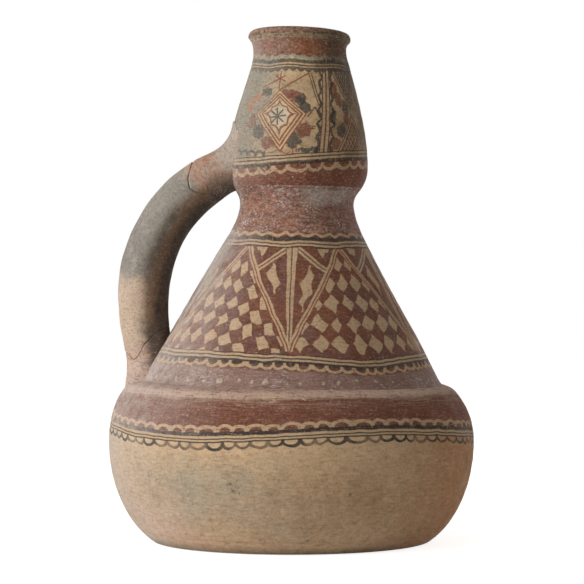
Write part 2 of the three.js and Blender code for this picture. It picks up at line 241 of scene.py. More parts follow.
def skin(name, grid, across, along, poles, inside_from=None):
    """A closed smooth mesh from a grid of points in mm, whose columns close on themselves. Its rows do
    too, or with poles the first and last row are one point each. The wall map holds, for each corner,
    how far around it is, as a share of a turn from the front, and how high the painter saw it. Rows
    from inside_from on lie inside the jug, and their corners are INSIDE turns further around."""
    rows, columns = grid.shape[:2]
    i, j = np.meshgrid(np.arange(rows - 1 if poles else rows), np.arange(columns), indexing="ij")
    up, side = (i + 1) % rows, (j + 1) % columns
    number = np.arange(rows * columns).reshape(rows, columns)
    points = grid.reshape(-1, 3)
    if poles:
        number = np.clip(number - columns + 1, 0, (rows - 2) * columns + 1)
        points = np.concatenate([grid[:1, 0], grid[1:-1].reshape(-1, 3), grid[-1:, 0]])
    corners = np.stack([number[i, j], number[i, side], number[up, side], number[up, j]], -1).reshape(-1, 4)
    turns = np.stack([across[i, j], across[i, j + 1], across[up, j + 1], across[up, j]], -1)
    turns = (turns + INSIDE * (i >= (rows if inside_from is None else inside_from))[..., None]).reshape(-1, 4)
    highs = np.stack([along[i, j], along[i, side], along[up, side], along[up, j]], -1).reshape(-1, 4)
    keep = np.ones(corners.shape, bool)
    if poles:
        keep[:columns, 1] = False
        keep[-columns:, 3] = False
    mesh = bpy.data.meshes.new(name)
    mesh.vertices.add(len(points))
    mesh.vertices.foreach_set("co", (points * MM).astype(np.float32).ravel())
    mesh.loops.add(int(keep.sum()))
    mesh.loops.foreach_set("vertex_index", corners[keep].astype(np.int32))
    mesh.polygons.add(len(corners))
    mesh.polygons.foreach_set("loop_start", (np.cumsum(keep.sum(1)) - keep.sum(1)).astype(np.int32))
    mesh.update(calc_edges=True)
    layer = mesh.uv_layers.new(name="wall")
    layer.uv.foreach_set("vector", np.stack([turns[keep], highs[keep] * MM], 1).astype(np.float32).ravel())
    mesh.shade_smooth()
    mesh.set_sharp_from_angle(angle=SHARP_ANGLE)
    made = bpy.data.objects.new(name, mesh)
    bpy.context.collection.objects.link(made)
    return made


def turned(name, outline, marked, poles=False, inside_from=None):
    """A wall turned from an outline of radii and heights in mm, up the outside and down the inside:
    each point goes round at its radius plus its share of the hand marks, and then leans."""
    turn, rise = np.meshgrid(np.arange(AROUND) * 2 * math.pi / AROUND - math.pi, outline[:, 1])
    reach = outline[:, :1] + marked[:, None] * hand_marks(turn, rise) * (outline[:, :1] > 0)
    grid = leaned(reach * np.sin(turn), -reach * np.cos(turn), rise)
    across = np.tile(np.arange(AROUND + 1) / AROUND - 0.5, (len(outline), 1))
    return skin(name, grid, across, grid[..., 2] + PAINT_TILT * grid[..., 0], poles, inside_from)


def spaced(low, high, step):
    """Heights from low to high, about step apart."""
    return np.linspace(low, high, round(abs((high - low) / step)) + 1)


def on_wall(radius, heights):
    """Outline points at the given heights, at the radius that the function gives there."""
    return np.stack([radius(heights), heights], 1)


def base_outline():
    """Across the underside, round the worn edge, up the rim and back over the slab's top."""
    foot = float(outside_radius(BASE_CORNER_RISE))
    under = np.stack([np.linspace(0, foot - BASE_CORNER, 14), np.zeros(14)], 1)
    corner = bend((foot - BASE_CORNER, 0), (foot - BASE_CORNER / 6, 0), (foot, BASE_CORNER_RISE), steps=8)
    rim = on_wall(outside_radius, spaced(BASE_CORNER_RISE, BASE_THICKNESS, 0.8))
    over = np.stack([np.linspace(rim[-1, 0], 0, 16), np.full(16, BASE_THICKNESS)], 1)
    return np.concatenate([under, corner[1:], rim[1:], over[1:]])


def finish_piece(piece, material, node):
    """Give a new piece its material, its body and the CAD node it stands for."""
    piece.data.materials.append(material)
    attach(piece, "root")
    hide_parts(node)


class Measure:
    """A number that changes over the wall, such as a turn in degrees or a rise in mm. Sums with it
    add Math nodes to the tree that is being painted."""

    tree = None

    def __init__(self, source):
        self.source = source

    def step(self, operation, *others, clamp=False):
        """The result of a Math node on this measure and others."""
        node = Measure.tree.nodes.new("ShaderNodeMath")
        node.operation = operation
        node.use_clamp = clamp
        for socket, value in zip(node.inputs, (self, *others)):
            plug(socket, value)
        return Measure(node.outputs[0])

    def __add__(self, other):
        return self.step("ADD", other)

    def __sub__(self, other):
        return self.step("SUBTRACT", other)

    def __rsub__(self, other):
        return Measure(other).step("SUBTRACT", self)

    def __mul__(self, other):
        return self.step("MULTIPLY", other)

    def __truediv__(self, other):
        return self.step("DIVIDE", other)

    def __rtruediv__(self, other):
        return Measure(other).step("DIVIDE", self)

    def __neg__(self):
        return self * -1

    def __abs__(self):
        return self.step("ABSOLUTE")

    __radd__, __rmul__ = __add__, __mul__


def plug(socket, value):
    """Link a measure or a socket into a socket, or set it to a plain number or colour."""
    value = value.source if isinstance(value, Measure) else value
    if isinstance(value, bpy.types.NodeSocket):
        Measure.tree.links.new(value, socket)
    elif isinstance(value, tuple) and len(value) == 3 and len(socket.default_value) == 4:
        socket.default_value = (*value, 1)
    else:
        socket.default_value = value


def ramp(value, start, end):
    """0 before start and 1 after end, straight between."""
    return value.step("MULTIPLY_ADD", 1 / (end - start), -start / (end - start), clamp=True)


def edge(value, soft=0.3):
    """1 where the value is above zero and 0 where it is below, over a soft edge."""
    return value.step("MULTIPLY_ADD", 1 / soft, 0.5, clamp=True)


def stroke(distance, width, soft=0.3):
    """A brush line: 1 within half its width of zero distance."""
    if isinstance(width, Measure):
        return edge(width * 0.5 - abs(distance), soft)
    return abs(distance).step("MULTIPLY_ADD", -1 / soft, width / 2 / soft + 0.5, clamp=True)


def band(value, low, high, soft=0.3):
    """1 between two heights, either of which may wander."""
    return edge(value - low, soft) * edge(high - value, soft)


def least(first, *others):
    """The smallest of several measures, at each place."""
    for other in others:
        first = first.step("MINIMUM", other)
    return first


def wave(turns):
    """Sine of a number of turns."""
    return (turns * (2 * math.pi)).step("SINE")


def wrapped(value, period):
    """The value less the nearest whole number of periods."""
    return value.step("WRAP", period / 2, -period / 2)


def away(side, up):
    """Distance from a middle: the root of the sum of both squares."""
    return (side * side + up * up).step("SQRT")


def rounds(turn, period, out, deep, width, soft=0.4):
    """Brush line of a row of half rounds, one to each period of the turn, that stand deep mm out from
    the line where out is 0: how far the place is from the middle of its ellipse, less the rim."""
    far = (away(wrapped(turn, period) * (2 / period), out / deep) - 1) * deep
    return stroke(far, width, soft) * edge(out + 0.4, 0.4)


def lay(under, over, cover):
    """Colour over another, where cover says, as paint lies on clay."""
    node = Measure.tree.nodes.new("ShaderNodeMix")
    node.data_type = "RGBA"
    plug(node.inputs["Factor"], cover)
    plug(node.inputs["A"], under)
    plug(node.inputs["B"], over)
    return node.outputs["Result"]


def ruled(coat, up, *lines):
    """Level brush lines: each has a colour, its height over a course, its width and its cover."""
    for colour, high, width, cover in lines:
        coat = lay(coat, colour, stroke(up - high, width) * cover)
    return coat


def toned(coat, value, *tones):
    """Tones of a ground: each has a colour, the values at which it starts and is full, and its cover."""
    for colour, start, full, cover in tones:
        coat = lay(coat, colour, ramp(value, start, full) * cover)
    return coat


def grain(place, scale, detail=2.0, rough=0.5, colour=False):
    """Noise at a number of cells for each unit of place."""
    node = Measure.tree.nodes.new("ShaderNodeTexNoise")
    plug(node.inputs["Vector"], place)
    plug(node.inputs["Scale"], scale)
    plug(node.inputs["Detail"], detail)
    plug(node.inputs["Roughness"], rough)
    return node.outputs["Color"] if colour else Measure(node.outputs[0])


def spread(x, y, z=0.0):
    """A place made of three measures."""
    node = Measure.tree.nodes.new("ShaderNodeCombineXYZ")
    for socket, value in zip(node.inputs, (x, y, z)):
        plug(socket, value)
    return node.outputs[0]


def ring(turn, pace, high):
    """A place for a level pattern that closes at the back: a circle with pace cells to each degree
    of the turn, and high cells up."""
    angle, reach = turn * math.radians(1), math.degrees(pace)
    return spread(angle.step("SINE") * reach, angle.step("COSINE") * reach, high)


def parted(place):
    """The three measures of a place or a colour."""
    node = Measure.tree.nodes.new("ShaderNodeSeparateXYZ")
    plug(node.inputs[0], place)
    return [Measure(socket) for socket in node.outputs]


def clay_place():
    """Object coordinates, in metres, the same for every piece of the jug."""
    return Measure.tree.nodes.new("ShaderNodeTexCoord").outputs["Object"]


def outputs_of(node):
    """A node's named outputs: numbers as measures, and colours as they are."""
    named = [socket for socket in node.outputs if socket.name]
    return [Measure(socket) if socket.type == "VALUE" else socket for socket in named]


def effect(name, gives, **takes):
    """Makes the function below it a shared effect. It runs once, with a measure or a colour for each
    input, and builds a shader node group with these inputs and outputs. After that its name places
    the group in the material in hand, with values of its own, and returns what comes out."""
    def shared(build):
        group = bpy.data.node_groups.new(name, "ShaderNodeTree")
        for label, value in takes.items():
            kind = "Color" if isinstance(value, tuple) else "Float"
            socket = group.interface.new_socket(label, in_out="INPUT", socket_type="NodeSocket" + kind)
            socket.default_value = (*value, 1) if kind == "Color" else value
        for label in gives:
            kind = "Color" if label == "Colour" else "Float"
            group.interface.new_socket(label, in_out="OUTPUT", socket_type="NodeSocket" + kind)
        before, Measure.tree = Measure.tree, group
        start, end = group.nodes.new("NodeGroupInput"), group.nodes.new("NodeGroupOutput")
        for socket, value in zip(end.inputs, build(*outputs_of(start))):
            plug(socket, value)
        Measure.tree = before

        def placed(**values):
            node = Measure.tree.nodes.new("ShaderNodeGroup")
            node.node_tree = group
            for label, value in values.items():
                plug(node.inputs[label], value)
            results = outputs_of(node)
            return results[0] if len(results) == 1 else results
        return placed
    return shared


@effect("wall place", ["Turn", "Rise", "Inside"], Sway=3.0)
def wall_place(sway):
    """Turn in degrees and rise in mm from the wall map, swayed as a hand that draws freely sways, and
    1 on the jug's inside."""
    node = Measure.tree.nodes.new("ShaderNodeUVMap")
    node.uv_map = "wall"
    across, along, _ = parted(node.outputs[0])
    drift = parted(grain(clay_place(), 52.0, 2.5, 0.55, colour=True))
    turn, rise = across * 360 + (drift[0] - 0.5) * sway * 0.8, along * 1000 + (drift[1] - 0.5) * sway
    return turn, rise, edge(across - INSIDE / 2, 0.01)


@effect("clay ground", ["Colour"], Pale=(0.56, 0.38, 0.23), Deep=(0.46, 0.29, 0.16),
        Shade=(0.22, 0.14, 0.08), Light=(0.66, 0.52, 0.38))
def clay_ground(pale, deep, shade, light):
    """Village clay: broad blotches between two colours, fine mottling and specks of grit."""
    place = clay_place()
    blotch = ramp(grain(place, 17.0, 5.0, 0.6), 0.36, 0.64)
    mottle = ramp(grain(place, 120.0, 6.0, 0.65), 0.30, 0.72)
    ground = lay(lay(pale, deep, blotch), shade, mottle * 0.28)
    speck = grain(place, 640.0, 2.0, 0.6)
    return [toned(ground, speck, (shade, 0.62, 0.70, 0.55), (light, 0.36, 0.30, 0.5))]


@effect("worn slip", ["Colour"], Coat=(0.28, 0.11, 0.06), Under=(0.5, 0.33, 0.2), Wear=0.5,
        Turn=0.0, Rise=0.0)
def worn_slip(coat, under, wear, turn, rise):
    """Slip that has been handled: rubbed patches, level scratches and pinholes show what lies under."""
    rub = grain(clay_place(), 34.0, 8.0, 0.72)
    scratch = grain(ring(turn, 0.05, rise * 0.62), 1.0, 5.0, 0.75)
    pin = grain(clay_place(), 480.0, 1.0, 0.5)
    bare = rub * 0.55 + scratch * 0.45 + ramp(pin, 0.62, 0.80) * 0.22
    return [lay(coat, under, edge(bare + wear * 0.5 - 0.86, 0.16))]


@effect("smoke and shade cloud", ["Colour"], Coat=(0.5, 0.33, 0.2), Smoke=(0.30, 0.28, 0.22), Amount=0.0, Depth=0.85)
def smoke_and_shade_cloud(coat, smoke, amount, depth):
    """Smoke that the open fire left, and in one place painted shade: it thickens towards the middle of the
    cloud and is blotchy.
    """
    blotch = grain(clay_place(), 30.0, 6.0, 0.62)
    return [lay(coat, smoke, ramp(amount + (blotch - 0.5) * 1.3, 0.12, 0.95) * depth)]


# Pale lime, and the colour of the painted sheen that is laid with it.
LIME_AND_SHEEN = (0.64, 0.565, 0.525)


@effect("lime and sheen bloom", ["Colour"], Coat=(0.28, 0.11, 0.06), Haze=0.0, Flecks=0.5, Turn=0.0, Rise=0.0)
def lime_and_sheen_bloom(coat, haze, flecks, turn, rise):
    """Pale lime that has come out of the clay: fine flecks, level dashes and a thin blotchy haze. On the
    lit left side the haze is also painted sheen of the key light.
    """
    coat = lay(coat, LIME_AND_SHEEN, haze * ramp(grain(clay_place(), 95.0, 6.0, 0.7), 0.22, 0.66))
    dash = grain(ring(turn + rise * 0.14, 0.42, rise * 1.7), 1.0, 3.0, 0.68)
    patchy = grain(clay_place(), 60.0, 3.0, 0.6)
    fleck = grain(clay_place(), 420.0, 4.0, 0.7) * 0.40 + dash * 0.50 + patchy * 0.24
    return [lay(coat, LIME_AND_SHEEN, edge(fleck + flecks * 0.2 - 0.81, 0.07) * 0.78)]


@effect("fine marks", ["Colour"], Coat=(0.28, 0.11, 0.06), Dirt=(0.05, 0.03, 0.022),
        Rubbed=(0.56, 0.40, 0.29), Amount=0.5, Turn=0.0, Rise=0.0)
def fine_marks(coat, dirt, rubbed, amount, turn, rise):
    """The marks of brush, pebble and long use, all level: dark where dirt has stayed in them and pale
    where they are rubbed through, with crumbs of grit between."""
    dash = grain(ring(turn + rise * 0.19, 0.26, rise * 1.15), 1.0, 4.0, 0.74)
    crumb = grain(clay_place(), 560.0, 3.0, 0.7)
    mark = dash * 0.62 + crumb * 0.38
    return [toned(coat, mark, (dirt, 0.505, 0.60, amount), (rubbed, 0.465, 0.37, amount * 0.75))]


@effect("clay relief", ["Height", "Dull"], Turn=0.0, Rise=0.0, Coarse=1.0)
def clay_relief(turn, rise, coarse):
    """Height in metres: grit, lumps, a pebble's polishing strokes and shallow pits. And how dull it is."""
    place = clay_place()
    grit = grain(place, 900.0, 3.0, 0.6) * 0.00010
    lumps = grain(place, 150.0, 4.0, 0.55) * 0.00042
    polish = grain(ring(turn, 0.10, rise * 0.9), 1.0, 3.0, 0.6) * 0.00022
    pits = ramp(grain(place, 260.0, 1.0, 0.5), 0.70, 0.78) * -0.00030
    dull = ramp(grain(place, 70.0, 5.0, 0.6), 0.3, 0.7)
    return [(grit + lumps + polish + pits) * coarse, dull]


def aged(coat, ground, turn, rise, wear, marks, haze, flecks):
    """What long use has left on the paint: worn patches, level marks, and lime that came out on them, in a
    pale haze that on the lit left side is also painted sheen.
    """
    coat = worn_slip(Coat=coat, Under=ground, Wear=wear, Turn=turn, Rise=rise)
    coat = fine_marks(Coat=coat, Amount=marks, Turn=turn, Rise=rise)
    return lime_and_sheen_bloom(Coat=coat, Haze=haze, Flecks=flecks, Turn=turn, Rise=rise)


def start_paint(name, sway):
    """A new material with its tree in hand, and the measures of a place on it: its turn, its rise, and
    1 on the jug's inside."""
    material = bpy.data.materials.new(name)
    material.use_nodes = True
    Measure.tree = material.node_tree
    return material, wall_place(Sway=sway)


def fire(colour, place, coarse, roughness):
    """Close a material: the painted colour, raw clay on the jug's inside, a roughness that varies, and
    the relief as bump."""
    turn, rise, inside = place
    shader = Measure.tree.nodes["Principled BSDF"]
    raw = clay_ground(Pale=(0.36, 0.255, 0.17), Deep=(0.27, 0.185, 0.12))
    grit = grain(clay_place(), 540.0, 4.0, 0.75)
    colour = toned(colour, grit,
                   ((0.075, 0.055, 0.04), 0.50, 0.76, 0.42), ((0.74, 0.62, 0.50), 0.46, 0.24, 0.20))
    plug(shader.inputs["Base Color"], lay(colour, raw, inside))
    shader.inputs["Specular IOR Level"].default_value = 0.18
    shader.inputs["Sheen Weight"].default_value = 0.03
    shader.inputs["Sheen Roughness"].default_value = 0.45
    shader.inputs["Sheen Tint"].default_value = (1.0, 0.96, 0.93, 1)
    height, dull = clay_relief(Turn=turn, Rise=rise, Coarse=coarse)
    low, high = roughness
    plug(shader.inputs["Roughness"], dull * (high - low) + low)
    bump = Measure.tree.nodes.new("ShaderNodeBump")
    bump.inputs["Distance"].default_value = 1.0
    plug(bump.inputs["Height"], height)
    plug(shader.inputs["Normal"], bump.outputs[0])


RED, CREAM, BLACK = (0.205, 0.071, 0.041), (0.60, 0.42, 0.255), (0.028, 0.027, 0.025)
PURPLE, LEDGE = (0.38, 0.235, 0.19), (0.56, 0.39, 0.30)
BAND_RISE, RIDGE_RISE = 84.8, 107.6  # the lines under the red band, and where the slip is rubbed off
BELLY_DEGREE = 2.25  # mm to a degree of the belly
NICKS = (  # turn, rise, half width and half height of each chip in the belly's clay
    (-19.4, 50.6, 2.2, 0.45), (-17.0, 53.2, 0.5, 1.0), (-18.2, 46.0, 1.3, 0.6), (-16.2, 43.6, 0.6, 0.9),
    (18.5, 45.5, 0.6, 1.1), (-21.6, 24.0, 1.3, 0.5), (-8.0, 30.5, 0.7, 0.4), (6.4, 12.0, 1.8, 0.4),
    (9.8, 20.4, 0.9, 0.5), (41.0, 33.0, 0.7, 0.6), (-47.0, 36.5, 0.6, 0.5))


def nicked(turn, rise, across, up, half_width, half_height):
    """A small chip in the belly: an ellipse at a turn and a rise, with its half width and height in mm."""
    far = away((turn - across) * BELLY_DEGREE / half_width, (rise - up) / half_height)
    return edge(1 - far, 0.5)


def sheen_and_lime_side(turn):
    """Where painted sheen of the key light and the lime's haze lie most: 0 at the front, 1 on the lit left
    side, and gone again at the back.
    """
    return ramp(turn, -22, -72) * ramp(turn, -168, -130)


def painted_belly():
    """Bare buff clay with one painted band under the shoulder. From below: hanging scallops, cream and
    black lines, a black band, cream arches, the red band up to the ridge, and the pale worn ledge."""
    material, place = start_paint("belly_clay", 2.6)
    turn, rise, _ = place
    coat = clay_ground(Pale=(0.66, 0.455, 0.275), Deep=(0.565, 0.36, 0.205))
    polish = grain(ring(turn, 0.03, rise * 0.9), 1.0, 4.0, 0.65)
    coat = lay(coat, (0.28, 0.185, 0.115), ramp(polish, 0.48, 0.76) * 0.42)
    coat = lay(coat, (0.74, 0.52, 0.315), ramp(rise, 40, 74) * ramp(turn, 58, 26) * 0.7)
    # Painted light bounced up from the floor: paler towards the bottom.
    coat = lay(coat, (0.71, 0.52, 0.345), ramp(rise, 38, 6) * 0.5)
    coat = lay(coat, (0.58, 0.275, 0.12), ramp(turn, 34, 62) * ramp(turn, 168, 130) * 0.70)
    flush = least(ramp(abs(turn + 52), 28, 8), ramp(abs(rise - 20), 24, 6))
    coat = lay(coat, (0.70, 0.47, 0.35), flush * 0.7)
    # Painted sheen of the key light, with smoke, greys the left side.
    side = ramp(turn, -40, -75) * ramp(turn, -172, -135)
    coat = lay(coat, (0.56, 0.475, 0.39), side * 0.78)
    cloud = least(ramp(abs(turn + 27), 36, 6), ramp(abs(rise - 42), 36, 8))
    coat = smoke_and_shade_cloud(Coat=coat, Amount=cloud * 0.85, Smoke=(0.40, 0.37, 0.285), Depth=0.75)
    mottled = grain(clay_place(), 78.0, 6.0, 0.70)
    coat = toned(coat, mottled,
                 ((0.33, 0.215, 0.125), 0.50, 0.70, 0.40), ((0.70, 0.53, 0.36), 0.43, 0.28, 0.36))
    finer = grain(ring(turn, 0.36, rise * 0.46), 1.0, 5.0, 0.76)
    coat = toned(coat, finer, ((0.26, 0.165, 0.09), 0.51, 0.66, 0.46), ((0.80, 0.62, 0.42), 0.46, 0.32, 0.42))
    # Painted contact shadow: darker along the bottom edge, where the jug stands.
    coat = lay(coat, (0.13, 0.09, 0.065), ramp(rise, 6.5, 0.5) * 0.62)
    ragged = parted(grain(clay_place(), 620.0, 3.0, 0.7, colour=True))
    torn_turn, torn_rise = turn + (ragged[0] - 0.5) * 2.4, rise + (ragged[1] - 0.5) * 6
    for nick in NICKS:
        coat = lay(coat, (0.10, 0.07, 0.05), nicked(torn_turn, torn_rise, *nick) * 0.8)
    ground = coat
    course = BAND_RISE + 2.2 * wave((turn + 5) / 180) + 2.0 * wave((turn + 5) / 120)
    up = rise - course
    streak = grain(ring(turn, 0.06, rise * 1.3), 1.0, 3.0, 0.6)
    shaky = grain(ring(turn, 0.16, 5.0), 1.0, 2.0, 0.5)
    uneven = turn + (grain(ring(turn, 0.06, 9.0), 1.0, 1.0) - 0.5) * 7
    ridge = RIDGE_RISE + 3.4 * ramp(turn, -40, 20) * ramp(turn, 170, 110) + (streak - 0.5) * 5
    slip = edge(up - 0.9, 0.3)
    coat = lay(coat, RED, slip)
    coat = toned(coat, streak,
                 ((0.16, 0.075, 0.05), 0.45, 0.75, slip * 0.5),
                 ((0.32, 0.115, 0.055), 0.42, 0.25, slip * 0.4))
    thick = 2.9 + 2.2 * grain(ring(turn, 0.2, 0.0), 1.0)
    coat = lay(coat, BLACK, band(up, 0.7, thick, 0.5) * 0.9)
    coat = lay(coat, LEDGE, ramp(ridge - rise, 11, 1) * ramp(streak, 0.46, 0.62) * 0.5)
    coat = lay(coat, CREAM, rounds(uneven, 5.4, up - 4.2, 2.0 + 2.6 * shaky, 2.1) * 0.92)
    coat = ruled(coat, up, (CREAM, -0.7, 3.9, 0.9), (BLACK, -0.9, 0.9, 0.88), (BLACK, -2.9, 1.0, 0.9))
    inked = 0.62 + 0.34 * ramp(grain(ring(turn, 0.11, 3.0), 1.0), 0.40, 0.56)
    coat = lay(coat, BLACK, rounds(uneven, 4.9, -3.3 - up, 2.4 + 3.2 * shaky, 0.8 + 2.1 * shaky) * inked)
    coat = lay(coat, LEDGE, edge(rise - ridge, 1.6))
    coat = lay(coat, PURPLE, ramp(rise - ridge, 3.4, 6.0) * 0.9)
    wear = 0.26 + 0.20 * ramp(abs(rise - ridge), 7, 1) + 0.1 * side
    red = edge(up - 1, 1)
    # Painted sheen of the key light on the lit left side, laid with the lime as a pale haze.
    haze = sheen_and_lime_side(turn) * (0.24 + 0.50 * red)
    coat = aged(coat, ground, turn, rise, wear, 0.19 + 0.44 * red, haze, 0.1 + 0.45 * red)
    fire(coat, place, 1.0, (0.6, 0.88))
    return material


belly_clay = painted_belly()
base = base_outline()
on_top = base[:, 1] >= BASE_THICKNESS
base_slab = turned("base_slab_clay", base, 1.0 - on_top, True, int(np.argmax(on_top)))
finish_piece(base_slab, belly_clay, "base_slab")

# Corner coil. A thin sausage of the same buff clay, thumbed into the inside corner while it was wet,
# so that slab and wall hold together and the jug doesn't leak there.
CORNER_COIL = 12.0
THUMB_HOLLOW = 0.22  # how far the thumb pressed its face in, as a share of the coil
FILM = 0.36  # layer of slip between two pieces


def corner_outline():
    """Up the inside of the wall, then back to the slab over a hollow that a thumb pressed."""
    foot = BASE_THICKNESS + FILM
    against = on_wall(lambda z: inside_radius(z) - FILM, spaced(foot, foot + CORNER_COIL, 1.5))
    low, top = against[0], against[-1]
    hollow = (low[0] - CORNER_COIL * THUMB_HOLLOW, low[1] + CORNER_COIL * THUMB_HOLLOW)
    face = bend(top, hollow, (low[0] - CORNER_COIL, low[1]), steps=12)
    bed = np.stack([np.linspace(low[0] - CORNER_COIL, low[0], 6), np.full(6, low[1])], 1)
    return np.concatenate([against, face[1:], bed[1:-1]])


corner = corner_outline()
corner_coil = turned("corner_coil_clay", corner, np.full(len(corner), 0.4), inside_from=0)
finish_piece(corner_coil, belly_clay, "corner_coil")

# Lower belly and shoulder. Coils of clay were smeared into one wall, out to the girth and in again to a
# ledge. The wall stiffened at each seam before the next stage was set on it with liquid clay.
SCARF_RISE = 3.0  # how much higher a seam lies on the inside than on the outside


def stage(name, low, high, step, low_scarf=SCARF_RISE):
    """One stage of the wall between two seams, each of which rises towards the inside."""
    outer = on_wall(outside_radius, spaced(low, high, step))
    inner = on_wall(inside_radius, spaced(high + SCARF_RISE, low + low_scarf, 4.5))
    marked = np.concatenate([np.ones(len(outer)), np.full(len(inner), 0.4)])
    return turned(name, np.concatenate([outer, inner]), marked, inside_from=len(outer) - 1)


lower_belly = stage("lower_belly_wall", BASE_THICKNESS, GIRTH_HEIGHT, 1.1, low_scarf=0)
finish_piece(lower_belly, belly_clay, "lower_belly")
shoulder = stage("shoulder_wall", GIRTH_HEIGHT, CREASE_HEIGHT, 0.8)
finish_piece(shoulder, belly_clay, "shoulder")

# Cone and neck. The straight wall was coiled up on the shoulder, and a waisted ring was set on it.
# Both are covered with red earth slip, rubbed with a pebble, and painted in cream and black.
PANEL = 72.0  # degrees between two like panels around the cone
AXIS_TURN = -1.5  # turn of the panel that faces the front
FOOT_LINES, TOP_LINES = 138.6, 215.3  # rise of the lines under and over the panels
BROWN, LINE_RED, MAUVE = (0.12, 0.043, 0.024), (0.255, 0.078, 0.038), (0.27, 0.148, 0.118)


def most(first, *others):
    """The greatest of several measures, at each place."""
    for other in others:
        first = first.step("MAXIMUM", other)
    return first


def painted_cone():
    """Red cone between two bands. Five hanging V panels, each with a striped axis, leaves, daggers
    and a striped roof, stand between triangles of cream and red lozenges."""
    material, place = start_paint("cone_slip", 3.0)
    turn, rise, _ = place
    ground = clay_ground()
    tone = grain(clay_place(), 30.0, 4.0, 0.6)
    coat = lay(RED, BROWN, ramp(tone, 0.4, 0.65))
    streak = grain(ring(turn, 0.05, rise * 1.1), 1.0, 3.0, 0.6)
    coat = lay(coat, (0.15, 0.07, 0.045), ramp(streak, 0.5, 0.8) * 0.5)
    coat = lay(coat, (0.36, 0.125, 0.06), ramp(streak, 0.44, 0.24) * ramp(turn, 30, -30) * 0.6)
    cloudy = grain(clay_place(), 62.0, 5.0, 0.68)
    coat = toned(coat, cloudy,
                 ((0.20, 0.095, 0.085), 0.50, 0.62, 0.6), ((0.31, 0.11, 0.055), 0.46, 0.34, 0.55))
    reach = (CONE_TOP_HEIGHT - rise) * CONE_SLOPE + CONE_TOP_RADIUS
    degree = reach * math.radians(1)  # mm to a degree at this height

    checker = wrapped(turn - AXIS_TURN - PANEL / 2, PANEL)
    left = edge(-turn - 1.5, 0.1) * edge(turn + 73.5, 0.1)
    drawn_in = most((175 - rise) * 0.26, 0)
    sag = most(turn + 44, 0)
    across = (checker + 3.5) / 9.0 * (1 - left) + (turn + 33.8 + drawn_in) / 9.2 * left
    up = (rise - 188) / 13.9 * (1 - left) + (rise - 174.5 + sag * sag * 0.017) / 12.3 * left
    uneven, shift, lift = parted(grain(clay_place(), 78.0, 1.5, 0.5, colour=True))
    across, up = across + (shift - 0.5) * 0.60, up + (lift - 0.5) * 0.56
    lozenge = 0.66 + 0.44 * uneven - 2 * abs(wrapped(across, 1)) - 2 * abs(wrapped(up, 1))

    axis = wrapped(turn - AXIS_TURN, PANEL)
    off = abs(axis)
    arm = 35.5 * (most(rise - 139, 0.01) / 74.5).step("POWER", 1.45)
    beyond = (off - arm) * degree * 0.87
    inner = edge(-beyond - 2, 0.5)
    field = edge(beyond - 2.6, 0.5) * band(rise, 139.5, 211.5, 0.5)
    coat = lay(coat, CREAM, edge(lozenge * 5, 0.6) * field * 0.95)

    inside = inner * band(rise, 141, 212)
    low_end = 161.5 + 14 * edge(-axis, 0.1)
    leaf = (rise - low_end) / (202.4 - low_end)
    leaf_side = off - 4.8 - (rise - 165.3) * 0.235
    bitten = 2.3 * abs(wave(rise / 25 + 0.25 * edge(leaf_side, 0.1)))
    width = 4.7 * wave(most(leaf, 0.001).step("POWER", 1.5) * 0.5) - bitten
    leaf_shape = edge((width - abs(leaf_side)) * degree, 0.4) * band(rise, low_end, 201.9)
    coat = lay(coat, CREAM, leaf_shape * inside * 0.92)
    bud = 1.0 - abs(off - 4.8) / 2.6 - abs(wrapped(rise - 156, 13)) / 3.4
    coat = lay(coat, CREAM, edge(bud * 3, 0.6) * band(rise, 148, 164) * inside * 0.8)
    dagger = (rise - 206.0) * 0.75 - abs(off - 23.0) + 1.1 * wave(turn / 6.1)
    bare_side = band(turn, -108, -44, 3)  # the panel beside the handle was left without its roof
    coat = lay(coat, CREAM, edge(dagger, 0.5) * band(rise, 205, 212.2) * (0.88 - 0.88 * bare_side))
    roof = (rise - 211 + (off - 5) * 0.77) * 0.8
    roof_length = edge(off - 4.5, 0.5) * edge(-beyond, 0.5) * (1 - bare_side)
    coat = lay(coat, CREAM, stroke(roof, 4.0) * roof_length * 0.92)
    coat = lay(coat, BROWN, stroke(roof, 1.0) * roof_length * 0.9)
    arms = band(rise, 141, 212.3)
    coat = lay(coat, CREAM, stroke(beyond, 3.9) * arms * 0.94)
    coat = lay(coat, LINE_RED, most(stroke(beyond - 0.2, 0.95), stroke(beyond - 2.1, 0.7)) * arms * 0.95)
    half = (rise - 150) * 0.036 + 1.6
    column = band(rise, 149, 212)
    coat = lay(coat, CREAM, edge(half - off * degree, 0.3) * column * 0.94)
    coat = lay(coat, BROWN, stroke(off * degree, 0.9) * column * 0.9)

    foot_course = FOOT_LINES - 3.9 / (1 + ((turn - 31) / 22).step("POWER", 2.0))
    low = rise - foot_course
    coat = ruled(coat, low, (BLACK, 1.15, 0.7, 0.85), (CREAM, -1.25, 3.8, 0.94), (BLACK, -1.3, 1.0, 0.9))
    ragged = grain(ring(turn, 0.3, 7.0), 1.0, 3.0, 0.6)
    shaky = grain(ring(turn, 0.15, 2.0), 1.0, 2.0, 0.5)
    coat = lay(coat, BLACK, band(low, -3.4 - 5.0 * ragged, -3.3, 0.6) * 0.88)
    slow = turn + (grain(ring(turn, 0.06, 4.0), 1.0, 1.0) - 0.5) * 11
    coat = lay(coat, CREAM, rounds(slow, 5.6, -5.0 - low, 2.2 + 2.4 * shaky, 0.9 + 1.7 * ragged) * 0.92)

    high = rise - TOP_LINES - 0.4 * wave(turn / 47)
    coat = ruled(coat, high, (CREAM, 0, 3.8, 0.92), (BLACK, 0, 1.0, 0.9), (BLACK, -2.4, 0.9, 0.8))
    coat = lay(coat, BLACK, band(high, 2.2, 2.5 + 4.8 * ragged, 0.6) * 0.88)
    ripple = high - 6.5 - (0.3 + 1.3 * shaky) * wave(slow / 13.2)
    coat = lay(coat, CREAM, stroke(ripple, 1.3 + 1.8 * ragged, 0.5) * 0.88)

